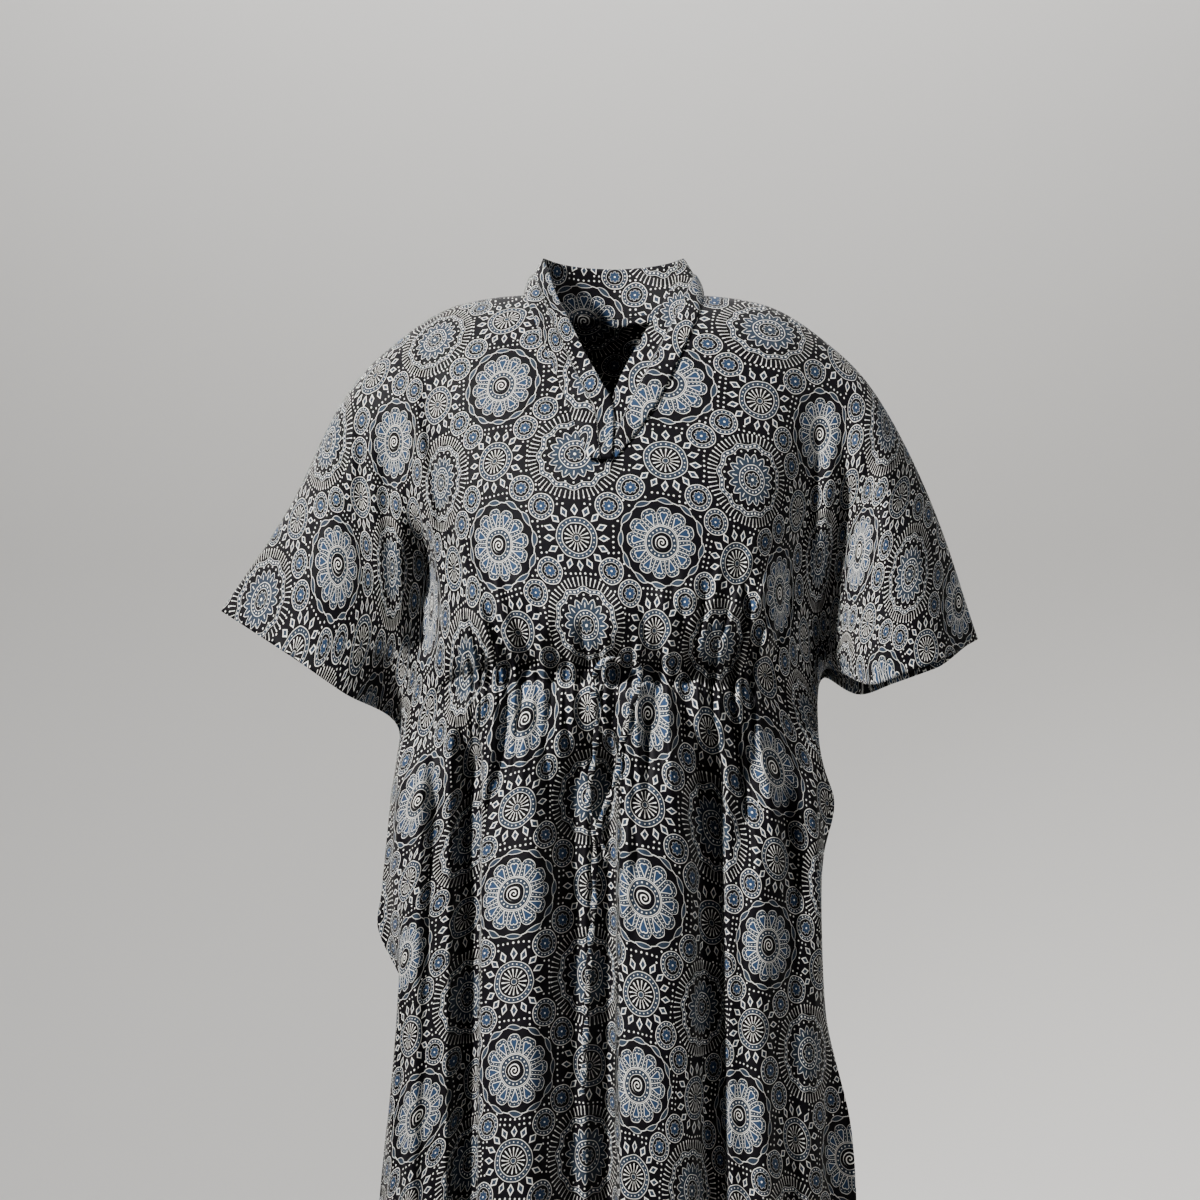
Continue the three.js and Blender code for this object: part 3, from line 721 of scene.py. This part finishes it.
def panel_piece(side, lay=None):
    grid, down = panel_grid(side)
    cloth, lay = print_map(side, grid, down, lay)
    rows, cols = grid.shape[:2]
    quads = grid_quads(rows, cols, flip=side == "back")
    points = grid.reshape(-1, 3)
    return link(side + "_cloth", points, quads, cloth, patch_map(rows, cols), WALL), lay


front, front_lay = panel_piece("front")
back, _ = panel_piece("back", front_lay)


def band_grid(rows_of, laps_over):
    places = np.arange(len(rows_of))
    at = np.arange((len(rows_of) - 1) * BAND_STEPS + 1) / BAND_STEPS
    seam_x, seam_z, open_x, open_z = (through(places, columns(rows_of, k), at) for k in range(4))
    lap = PLACKET_LIFT * smooth(PLACKET_FROM, PLACKET_FULL, seam_z) if laps_over else np.zeros_like(at)
    seam, facing = on_panel("front", seam_x, np.minimum(seam_z, 9))
    seam_point = seam + facing * (BAND_LIFT + lap)[:, None]
    start = at < 0.01
    seam_point[start] = (seam_x[0], -SEAM_GAP, seam_z[0] + LAYER)
    lying, _ = on_panel("front", open_x, np.minimum(open_z, 6))
    lying_y = lying[:, 1] - BAND_LIFT - lap
    stands = [np.full_like(at, row[4]) if row[4] is not None else lying_y for row in rows_of]
    open_y = through(places, np.stack(stands, -1), at)
    open_point = np.stack([open_x, open_y, open_z], -1)
    tuck = np.ones_like(at) if laps_over else smooth(-142, -100, seam_z) * 0.85 + 0.15
    sign = math.copysign(1, rows_of[0][0])
    lean = np.array([sign * 0.35, -0.9, 0.1])
    lean /= np.linalg.norm(lean)
    turn = np.clip(1 - at, 0, 1)[:, None]
    away = lean * (1 - turn) + np.array([sign, 0, 0]) * turn
    away /= np.linalg.norm(away, axis=-1, keepdims=True)
    grid = []
    for across, lift in zip(BAND_ACROSS, BAND_LIFTS):
        pucker = 0.55 * np.sin(at * 11 + 3 * across) * np.sin(at * 5.3 + 1.7) * math.sin(math.pi * across)
        raised = np.maximum(lift * tuck + pucker * (1 if across > 0.5 else 0.5), 0)
        grid.append(open_point + (seam_point - open_point) * across + away * raised[:, None])
    return np.stack(grid, 1)


def band_piece(name, rows_of, laps_over, place):
    grid = band_grid(rows_of, laps_over)
    width, fall = lay_of(grid)
    cloth = np.stack([(width - width[:, :1]) * MM + place[0], place[1] - fall * MM], -1)
    cloth[:, TUCK_FROM:] += TUCK_SHIFT
    flip = rows_of[0][0] < 0
    rows, cols = grid.shape[:2]
    quads = grid_quads(rows, cols, flip)
    return link(name, grid.reshape(-1, 3), quads, cloth.reshape(-1, 2), patch_map(rows, cols), WALL)


band_left = band_piece("neckband_left_cloth", LEFT_BAND, True, BAND_PRINT["left"])
band_right = band_piece("neckband_right_cloth", RIGHT_BAND, False, BAND_PRINT["right"])


def collar_grid():
    turn = np.pi * np.arange(COLLAR_STEPS + 1) / COLLAR_STEPS
    share = (1 - np.cos(turn)) / 2
    foot_x = BACK_NECK[0][0] + (BACK_NECK[-1][0] - BACK_NECK[0][0]) * share
    foot_z = np.interp(foot_x, columns(BACK_NECK, 0), columns(BACK_NECK, 1))
    foot, facing = on_panel("back", foot_x, np.minimum(foot_z, 9))
    base = foot + facing * LAYER
    base[:, 1] = np.maximum(base[:, 1], SEAM_GAP)
    for k in (0, -1):
        base[k] = (foot_x[k], SEAM_GAP, BACK_NECK[0][1] + LAYER)
    top = np.stack(
        [
            COLLAR_TOP_LEFT + (COLLAR_TOP_RIGHT - COLLAR_TOP_LEFT) * share,
            SEAM_GAP + COLLAR_TOP_BACK * np.sin(turn),
            COLLAR_TOP_Z - COLLAR_BACK_DIP * np.sin(turn) - COLLAR_CORNER * np.exp(-np.sin(turn) / 0.16),
        ],
        -1,
    )
    rise = np.linspace(1, 0, COLLAR_ROWS + 1)
    rows_of = [base + (top - base) * r for r in rise]
    turned = base - facing * (LAYER + 1.1) + (0, 0, 1.2)
    rows_of += [base - facing * 0.4 + (0, 0, 1.6), turned, turned - (0, 0, 3), turned - (0, 0, 6)]
    return np.stack(rows_of)


def collar_piece():
    grid = collar_grid()
    width, fall = lay_of(grid)
    rows, cols = grid.shape[:2]
    cloth = np.stack([width * MM + COLLAR_PRINT[0], COLLAR_PRINT[1] - fall * MM], -1).reshape(-1, 2)
    quads = grid_quads(rows, cols, flip=True)
    return link("collar_cloth", grid.reshape(-1, 3), quads, cloth, patch_map(rows, cols), WALL)


collar = collar_piece()


def route(points, step):
    """Evenly spaced points along a smooth line through a route's points."""
    points = np.array(points, float)
    places = np.concatenate([[0], np.cumsum(np.linalg.norm(np.diff(points, axis=0), axis=-1))])
    fine = np.linspace(0, places[-1], int(places[-1] / step) * 4)
    line = np.stack([through(places, points[:, k], fine) for k in range(3)], -1)
    along = np.concatenate([[0], np.cumsum(np.linalg.norm(np.diff(line, axis=0), axis=-1))])
    even = np.linspace(0, along[-1], int(along[-1] / step))
    return np.stack([np.interp(even, along, line[:, k]) for k in range(3)], -1), along[-1]


def tie_piece(name, points, first_turn):
    """A free end of the drawstring: a flat tie of the same cloth that twists as it hangs."""
    line, length = route(points, TIE_STEP)
    count = len(line)
    ahead = np.gradient(line, axis=0)
    ahead /= np.linalg.norm(ahead, axis=-1, keepdims=True)
    side = np.cross(ahead, (0, -1, 0))
    side /= np.linalg.norm(side, axis=-1, keepdims=True)
    out = np.cross(side, ahead)
    s = np.linspace(0, length, count)
    turn = first_turn + 2 * np.pi * s / TIE_TURN + 0.5 * np.sin(s / 23)
    points_out = []
    for k in range(TIE_SIDES):
        a = 2 * np.pi * k / TIE_SIDES
        u = TIE_WIDTH / 2 * np.cos(a)
        v = TIE_THICK / 2 * np.sin(a)
        across = np.cos(turn) * u - np.sin(turn) * v
        deep = np.sin(turn) * u + np.cos(turn) * v
        points_out.append(line + side * across[:, None] + out * deep[:, None])
    grid = np.stack(points_out, 1)
    grid = np.concatenate([grid, grid[:, :1]], 1)
    flat = grid.reshape(-1, 3)
    quads = grid_quads(count, TIE_SIDES + 1)
    ends = [line[0], line[-1]]
    flat = np.concatenate([flat, ends])
    first = len(flat) - 2
    for k in range(TIE_SIDES):
        quads.append((first, k, k + 1))
        last = (count - 1) * (TIE_SIDES + 1)
        quads.append((first + 1, last + k + 1, last + k))
    round_it = np.arange(TIE_SIDES + 1) * 1.1
    u, v = np.meshgrid(round_it, s)
    cloth = np.stack([u * MM - 0.006, v * MM * 1.3], -1).reshape(-1, 2)
    cloth = np.concatenate([cloth, cloth[:1], cloth[-1:]])
    patch = np.concatenate([patch_map(count, TIE_SIDES + 1), [(0.5, 0.998), (0.5, 0.002)]])
    return link(name, flat, quads, cloth, patch), length


long_tie, long_length = tie_piece("tie_long", LONG_TIE, 0.4)
short_tie, short_length = tie_piece("tie_short", SHORT_TIE, 1.9)


# The print, drawn by the shader on the cloth's own map, in millimetres of cloth: how soft an edge is,
# what a line loses on each side, how far the hand printing wanders, then the dots, and the inks
EDGE = 0.36
LINE_TRIM = 0.24
HAND_WANDER = 1.1
DOT_PITCH = 5.2
DOT_RADIUS = 0.86
ROUNDEL_WIDE = 51.5
ROUNDEL_THIN = 31.5
FLOWER_CLEAR = 45.0
SUNBURST_CLEAR = 47.6
WHEEL_CLEAR = 33.4
ROUNDEL_CLEAR = 14.7
GROUND = (0.0014, 0.001, 0.0022, 1)
CREAM = (0.88, 0.865, 0.81, 1)
BLUE = (0.019, 0.03, 0.047, 1)
DEEP = (0.016, 0.036, 0.078, 1)
ROUGH = 0.62
SHINE = 0.09
SHEEN = 0.01
SHEEN_ROUGH = 0.4


class Ink:
    """Math nodes written as plain sums. Lengths are in millimetres of cloth."""

    def __init__(self, tree):
        self.tree = tree

    def node(self, kind, **settings):
        node = self.tree.nodes.new(kind)
        for key, value in settings.items():
            setattr(node, key, value)
        return node

    def wire(self, socket, value):
        if isinstance(value, bpy.types.NodeSocket):
            self.tree.links.new(value, socket)
        else:
            socket.default_value = value

    def math(self, operation, *values, clamp=False):
        node = self.node("ShaderNodeMath", operation=operation, use_clamp=clamp)
        for socket, value in zip(node.inputs, values):
            self.wire(socket, value)
        return node.outputs[0]

    def add(self, a, b):
        return self.math("ADD", a, b)

    def sub(self, a, b):
        return self.math("SUBTRACT", a, b)

    def mul(self, a, b):
        return self.math("MULTIPLY", a, b)

    def fma(self, a, b, c):
        return self.math("MULTIPLY_ADD", a, b, c)

    def chain(self, operation, values):
        out = values[0]
        for value in values[1:]:
            out = self.math(operation, out, value)
        return out

    def low(self, *values):
        return self.chain("MINIMUM", values)

    def high(self, *values):
        return self.chain("MAXIMUM", values)

    def both(self, *values):
        return self.chain("MULTIPLY", values)

    def length(self, a, b):
        return self.math("SQRT", self.fma(a, a, self.mul(b, b)))

    def size(self, a):
        return self.math("ABSOLUTE", a)

    def under(self, value, limit, soft=EDGE):
        """1 where value is under limit, 0 past it, with a soft edge."""
        return self.math("MULTIPLY_ADD", value, -1 / soft, limit / soft + 0.5, clamp=True)

    def over(self, value, limit, soft=EDGE):
        return self.math("MULTIPLY_ADD", value, 1 / soft, 0.5 - limit / soft, clamp=True)

    def band(self, value, start, end):
        middle = (start + end) / 2
        return self.under(self.size(self.sub(value, middle)), (end - start) / 2 - LINE_TRIM)

    def centred(self, value, middle, period):
        """value measured from the nearest repeat of middle."""
        return self.math("WRAP", self.sub(value, middle), period / 2, -period / 2)

    def polar(self, u, v):
        return self.length(u, v), self.math("ARCTAN2", v, u)

    def petal(self, angle, count, turned=0.0):
        """The angle from the nearest of so many spokes, as a size."""
        step = 2 * math.pi / count
        return self.size(self.centred(angle, turned, step))

    def spot(self, along, across, radius):
        return self.under(self.length(along, across), radius)

    def beads(self, radius, angle, count, ring, size):
        side = self.mul(radius, self.petal(angle, count))
        return self.spot(self.sub(radius, ring), side, size)


def flower(ink, u, v):
    """Twelve petals with hearts in them round a coil, inside a wreath of slim leaves."""
    r, a = ink.polar(u, v)
    t = ink.petal(a, 12)
    side = ink.mul(r, t)
    share = ink.mul(t, 12 / math.pi)
    lobe = ink.fma(ink.math("POWER", share, 3.0), -6.4, 34.8)
    edge = ink.sub(r, lobe)
    gap = ink.mul(r, ink.sub(math.pi / 12, t))
    inside = ink.high(edge, ink.sub(-0.4, gap), ink.sub(16.4, r))
    rim = ink.band(inside, -0.9, 0.1)
    body = ink.under(inside, -0.9)
    knob = ink.length(ink.sub(side, 1.6), ink.sub(r, 27.6))
    wedge = ink.high(ink.fma(ink.sub(r, 17.4), -0.36, side), ink.sub(r, 27.8))
    heart = ink.low(ink.sub(knob, 2.1), wedge)
    heart_line = ink.under(ink.size(heart), 0.27)
    heart_fill = ink.under(heart, -0.4)
    moat = ink.band(heart, 0.4, 1.0)
    side_dots = ink.both(ink.spot(ink.sub(gap, 1.9), ink.centred(r, 1.6, 3.4), 0.36), ink.band(r, 18, 30))
    top_dots = ink.spot(ink.add(edge, 2.5), ink.mul(r, ink.petal(a, 48)), 0.36)
    dots = ink.both(ink.high(side_dots, top_dots), body, ink.over(heart, 0.8))
    coil = ink.math("WRAP", ink.fma(a, -3.4 / (2 * math.pi), r), 3.4, 0.0)
    coil_line = ink.both(ink.under(ink.size(ink.sub(coil, 1.7)), 0.5), ink.under(r, 6.9))
    ring = ink.high(ink.band(r, 9.8, 10.6), ink.band(r, 15.1, 16.0))
    ring_dots = ink.beads(r, a, 18, 12.85, 0.66)
    ring_fill = ink.band(r, 10.4, 15.1)
    step = math.pi / 6
    along = ink.mul(ink.centred(a, 0.0, step), 41.2)
    off = ink.size(ink.sub(ink.sub(r, 41.2), ink.mul(along, 0.11)))
    leaf = ink.fma(ink.math("POWER", ink.mul(along, 1 / 8.6), 2.0), 2.9, ink.sub(off, 2.9))
    leaf_line = ink.band(leaf, -0.8, 0.05)
    leaf_fill = ink.under(leaf, -0.7)
    stem = ink.both(ink.under(ink.size(ink.sub(r, 41.2)), 0.3), ink.over(ink.size(along), 7.4))
    cream = ink.high(rim, ink.mul(heart_line, body), dots, coil_line, ring, ring_dots, leaf_line, stem)
    blue = ink.high(ink.mul(body, ink.sub(1.0, moat)), ring_fill, leaf_fill)
    deep = ink.mul(heart_fill, body)
    return cream, blue, deep


def wheel(ink, u, v):
    """A dotted ring with spokes inside and diamond petals outside."""
    r, a = ink.polar(u, v)
    t = ink.petal(a, 16)
    side = ink.mul(r, t)
    rings = ink.high(ink.band(r, 14.2, 15.1), ink.band(r, 19.4, 20.3), ink.band(r, 2.3, 3.0))
    fat = ink.fma(ink.over(r, 9.6, 2.6), 0.34, 0.2)
    spokes = ink.both(ink.under(ink.sub(side, fat), 0.0), ink.over(r, 4.4), ink.under(r, 12.4))
    band = ink.high(ink.band(r, 15.0, 19.4), ink.under(r, 2.4))
    beads = ink.beads(r, a, 24, 17.2, 0.52)
    diamond = ink.fma(ink.size(ink.sub(r, 27.0)), 1 / 5.4, ink.mul(side, 1 / 3.3))
    petals = ink.both(ink.under(diamond, 1.0, 0.16), ink.over(diamond, 0.72, 0.16))
    heart = ink.under(diamond, 0.72, 0.16)
    return ink.high(rings, spokes, beads, petals), ink.high(band, heart)


def sunburst(ink, u, v):
    """A wavy dotted band with ticks round it, and a pointed rosette inside."""
    r, a = ink.polar(u, v)
    t16 = ink.petal(a, 16)
    wavy = ink.fma(ink.math("COSINE", ink.mul(a, 12)), 1.2, 34.0)
    off = ink.size(ink.sub(r, wavy))
    band_lines = ink.band(off, 1.9, 2.65)
    band_fill = ink.under(off, 2.0)
    band_beads = ink.both(ink.under(off, 0.7), ink.over(ink.math("SINE", ink.mul(a, 48)), 0.2, 0.6))
    tick_side = ink.mul(r, ink.petal(a, 60))
    fat = ink.fma(ink.over(r, 44.4, 1.6), 0.3, 0.24)
    ticks = ink.both(ink.under(ink.sub(tick_side, fat), 0.0), ink.over(r, 38.0), ink.under(r, 46.4))
    point = ink.fma(ink.math("POWER", ink.mul(t16, 16 / math.pi), 1.4), 5.6, ink.sub(r, 26.4))
    rim = ink.band(point, -1.0, 0.1)
    rib = ink.both(ink.under(ink.mul(r, t16), 0.34), ink.band(r, 17.0, 22.0))
    body = ink.both(ink.under(point, -0.9), ink.over(r, 15.0))
    rings = ink.high(ink.band(r, 9.0, 9.8), ink.band(r, 14.1, 15.1), ink.under(r, 1.3))
    ring_fill = ink.band(r, 9.7, 14.1)
    ring_beads = ink.beads(r, a, 18, 11.9, 0.75)
    t8 = ink.petal(a, 8)
    lobe = ink.fma(ink.math("POWER", ink.mul(t8, 8 / math.pi), 2.0), 2.4, ink.sub(r, 7.2))
    heart_line = ink.both(ink.band(lobe, -0.8, 0.0), ink.over(r, 2.4))
    heart = ink.both(ink.under(lobe, -0.7), ink.over(r, 1.6))
    dots = ink.beads(r, a, 24, 29.4, 0.8)
    cream = ink.high(band_lines, band_beads, ticks, rim, rib, rings, ring_beads, heart_line, dots)
    return cream, ink.high(band_fill, body, ring_fill, heart)


def roundel(ink, u, v):
    """A small round: a dotted ring, dark ground and a little flower."""
    r, a = ink.polar(u, v)
    rings = ink.high(ink.band(r, 12.3, 13.3), ink.band(r, 8.3, 9.0), ink.under(r, 0.9))
    band = ink.band(r, 9.0, 12.3)
    beads = ink.beads(r, a, 17, 10.65, 0.55)
    t8 = ink.petal(a, 8)
    lobe = ink.fma(ink.math("POWER", ink.mul(t8, 8 / math.pi), 2.0), 1.7, ink.sub(r, 6.3))
    line = ink.band(lobe, -0.7, 0.0)
    deep = ink.under(lobe, -0.7)
    return ink.high(rings, beads, line), band, deep


def print_inks(ink, u, v):
    """How much cream, blue and deep blue lies at each place of the print."""
    flower_u = ink.centred(u, 0.0, REPEAT)
    flower_v = ink.centred(v, 0.0, REPEAT)
    f_cream, f_blue, f_deep = flower(ink, flower_u, flower_v)
    burst_u = ink.centred(u, REPEAT / 2, REPEAT)
    burst_v = ink.centred(v, REPEAT / 2, REPEAT)
    s_cream, s_blue = sunburst(ink, burst_u, burst_v)
    nearer = ink.math("LESS_THAN", ink.size(flower_v), ink.size(flower_u))
    wheel_u = ink.fma(nearer, ink.sub(burst_u, flower_u), flower_u)
    wheel_v = ink.fma(nearer, ink.sub(flower_v, burst_v), burst_v)
    w_cream, w_blue = wheel(ink, wheel_u, wheel_v)
    wide = ink.high(ink.size(flower_u), ink.size(flower_v))
    thin = ink.low(ink.size(flower_u), ink.size(flower_v))
    r_cream, r_blue, r_deep = roundel(ink, ink.sub(wide, ROUNDEL_WIDE), ink.sub(thin, ROUNDEL_THIN))
    cream = ink.high(f_cream, s_cream, w_cream, r_cream, scattered_dots(ink, u, v))
    return cream, ink.high(f_blue, s_blue, w_blue, r_blue), ink.high(f_deep, r_deep)


def scattered_dots(ink, u, v):
    """Small cream dots in the ground between the motifs, in even rows."""
    dot_u = ink.math("SNAP", ink.add(u, DOT_PITCH / 2), DOT_PITCH)
    dot_v = ink.math("SNAP", ink.add(v, DOT_PITCH / 2), DOT_PITCH)
    dot = ink.spot(ink.sub(u, dot_u), ink.sub(v, dot_v), DOT_RADIUS)
    far_u = ink.size(ink.centred(dot_u, 0.0, REPEAT))
    far_v = ink.size(ink.centred(dot_v, 0.0, REPEAT))
    wide = ink.high(far_u, far_v)
    thin = ink.low(far_u, far_v)

    def away(place_x, place_y, x, y, radius):
        off_x = ink.sub(place_x, x)
        off_y = ink.sub(place_y, y)
        return ink.math("GREATER_THAN", ink.length(off_x, off_y), radius)

    half = REPEAT / 2
    return ink.both(
        dot,
        away(far_u, far_v, 0, 0, FLOWER_CLEAR),
        away(far_u, far_v, half, half, SUNBURST_CLEAR),
        away(far_u, far_v, half, 0, WHEEL_CLEAR),
        away(far_u, far_v, 0, half, WHEEL_CLEAR),
        away(wide, thin, ROUNDEL_WIDE, ROUNDEL_THIN, ROUNDEL_CLEAR),
    )


def cotton():
    material = bpy.data.materials.new("printed_cotton")
    material.use_nodes = True
    tree = material.node_tree
    tree.nodes.clear()
    ink = Ink(tree)
    cloth = ink.node("ShaderNodeUVMap", uv_map="Cloth")

    def noise_of(scale, detail):
        noise = ink.node("ShaderNodeTexNoise", noise_dimensions="2D")
        noise.inputs["Scale"].default_value = scale
        noise.inputs["Detail"].default_value = detail
        tree.links.new(cloth.outputs[0], noise.inputs["Vector"])
        return noise

    wander = noise_of(60, 1.0)
    split = ink.node("ShaderNodeSeparateXYZ")
    tree.links.new(cloth.outputs[0], split.inputs[0])
    noise = ink.node("ShaderNodeSeparateColor")
    tree.links.new(wander.outputs["Color"], noise.inputs[0])
    u = ink.fma(split.outputs[0], 1000, ink.fma(noise.outputs[0], 2 * HAND_WANDER, -HAND_WANDER))
    v = ink.fma(split.outputs[1], 1000, ink.fma(noise.outputs[1], 2 * HAND_WANDER, -HAND_WANDER))
    cream, blue, deep = print_inks(ink, u, v)

    def over(below, colour, share):
        mix = ink.node("ShaderNodeMix", data_type="RGBA")
        ink.wire(mix.inputs[0], share)
        ink.wire(mix.inputs[6], below)
        ink.wire(mix.inputs[7], colour)
        return mix.outputs[2]

    wear = ink.math("MULTIPLY_ADD", noise.outputs[2], 0.5, 0.62, clamp=True)
    colour = over(GROUND, BLUE, ink.mul(blue, wear))
    colour = over(colour, DEEP, ink.mul(deep, 0.85))
    cover = ink.math("MULTIPLY_ADD", noise.outputs[2], 0.25, 0.8, clamp=True)
    colour = over(colour, CREAM, ink.mul(cream, cover))
    weave = noise_of(260, 3.0)
    crinkle = noise_of(38, 2.0)
    height = ink.fma(crinkle.outputs["Fac"], 4.0, weave.outputs["Fac"])
    bump = ink.node("ShaderNodeBump")
    bump.inputs["Strength"].default_value = 0.25
    bump.inputs["Distance"].default_value = 0.0006
    tree.links.new(height, bump.inputs["Height"])
    shader = ink.node("ShaderNodeBsdfPrincipled")
    shader.inputs["Roughness"].default_value = ROUGH
    shader.inputs["Specular IOR Level"].default_value = SHINE
    shader.inputs["Sheen Weight"].default_value = SHEEN
    shader.inputs["Sheen Roughness"].default_value = SHEEN_ROUGH
    tree.links.new(colour, shader.inputs["Base Color"])
    tree.links.new(bump.outputs[0], shader.inputs["Normal"])
    output = ink.node("ShaderNodeOutputMaterial")
    tree.links.new(shader.outputs[0], output.inputs[0])
    return material


COTTON = cotton()
PIECES = {
    "front": front,
    "back": back,
    "neckband_left": band_left,
    "neckband_right": band_right,
    "stand_collar": collar,
    "drawstring_long_end": long_tie,
    "drawstring_short_end": short_tie,
}
for node, piece in PIECES.items():
    piece.data.materials.append(COTTON)
    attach(piece, "root")
    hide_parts(node)

# Floor, backdrop and soft light
FLOOR_Z = -1.40
FLOOR_SIZE = 14
BACK_WALL_Y = 2.6
BACK_WALL_HEIGHT = 6
BEND = 1.2
BEND_STEPS = 16
PALE = (0.78, 0.765, 0.74, 1)
DIM = (0.8, 0.82, 0.86, 1)
DIM_STRENGTH = 0.008
FAR_WALL = (0.5, 0.49, 0.48, 1)


def pick_shader(tree, share, plain, other, output):
    """Puts one of two shaders through to the output: plain where share is 0, other where it is 1."""
    mix = tree.nodes.new("ShaderNodeMixShader")
    for socket, source in zip(mix.inputs, (share, plain, other)):
        tree.links.new(source, socket)
    tree.links.new(mix.outputs[0], tree.nodes[output].inputs[0])


def stage_material():
    """Pale, and clear from behind, so that the backdrop hides nothing in a view from there."""
    material = bpy.data.materials.new("pale_floor")
    material.use_nodes = True
    tree = material.node_tree
    shader = tree.nodes["Principled BSDF"]
    shader.inputs["Base Color"].default_value = PALE
    shader.inputs["Roughness"].default_value = 0.85
    behind = tree.nodes.new("ShaderNodeNewGeometry").outputs["Backfacing"]
    clear = tree.nodes.new("ShaderNodeBsdfTransparent").outputs[0]
    pick_shader(tree, behind, shader.outputs[0], clear, "Material Output")
    return material


def sweep():
    """A floor that curves up into a backdrop."""
    profile = [(-FLOOR_SIZE / 2, FLOOR_Z)]
    for k in range(BEND_STEPS + 1):
        a = math.pi / 2 * k / BEND_STEPS
        profile.append((BACK_WALL_Y - BEND + BEND * math.sin(a), FLOOR_Z + BEND * (1 - math.cos(a))))
    profile.append((BACK_WALL_Y, FLOOR_Z + BACK_WALL_HEIGHT))
    points = []
    for y, z in profile:
        points += [(-FLOOR_SIZE / 2, y, z), (FLOOR_SIZE / 2, y, z)]
    quads = [(2 * k, 2 * k + 1, 2 * k + 3, 2 * k + 2) for k in range(len(profile) - 1)]
    mesh = bpy.data.meshes.new("floor")
    mesh.from_pydata(points, [], quads)
    mesh.polygons.foreach_set("use_smooth", [True] * len(mesh.polygons))
    mesh.materials.append(stage_material())
    floor = bpy.data.objects.new("floor", mesh)
    bpy.context.scene.collection.objects.link(floor)
    return floor


def soft_box(name, place, aim, size, power, colour=(1, 1, 1), beam=180):
    data = bpy.data.lights.new(name, "AREA")
    data.shape = "RECTANGLE"
    data.size, data.size_y = size
    data.energy = power
    data.color = colour
    data.spread = math.radians(beam)
    light = bpy.data.objects.new(name, data)
    light.location = place
    offset = np.array(aim, float) - place
    flat = math.hypot(offset[0], offset[1])
    light.rotation_euler = (math.atan2(flat, -offset[2]), 0, math.atan2(offset[0], -offset[1]) + math.pi)
    bpy.context.scene.collection.objects.link(light)


sweep()
soft_box("key", (-2.1, -1.9, 1.5), (0.36, 0, -0.55), (0.3, 0.34), 27, (1, 0.99, 0.97), 46)
soft_box("fill", (-1.8, -2.6, 0.2), (0, 0, -0.5), (0.8, 1.0), 0.4, (0.96, 0.98, 1), 90)
soft_box("side", (2.4, -1.5, 1.2), (0.25, 0, -0.3), (0.3, 0.4), 2.6, (0.98, 0.99, 1), 50)
soft_box("rear", (-1.9, 2.2, 1.2), (0, 0, -0.4), (0.6, 0.6), 7, (1, 1, 1), 70)
soft_box("top", (0.3, 0.9, 1.7), (0, 0, -0.3), (1.4, 0.6), 2.5)
soft_box("backdrop_light", (0.0, 1.1, 2.6), (0, 2.6, -0.3), (3.0, 0.8), 130)
world = bpy.data.worlds.new("world")
bpy.context.scene.world = world
world.use_nodes = True
tree = world.node_tree
dim = tree.nodes["Background"]
dim.inputs[0].default_value = DIM
dim.inputs[1].default_value = DIM_STRENGTH
far_wall = tree.nodes.new("ShaderNodeBackground")
far_wall.inputs[0].default_value = FAR_WALL
seen = tree.nodes.new("ShaderNodeLightPath").outputs["Is Camera Ray"]
pick_shader(tree, seen, dim.outputs[0], far_wall.outputs[0], "World Output")
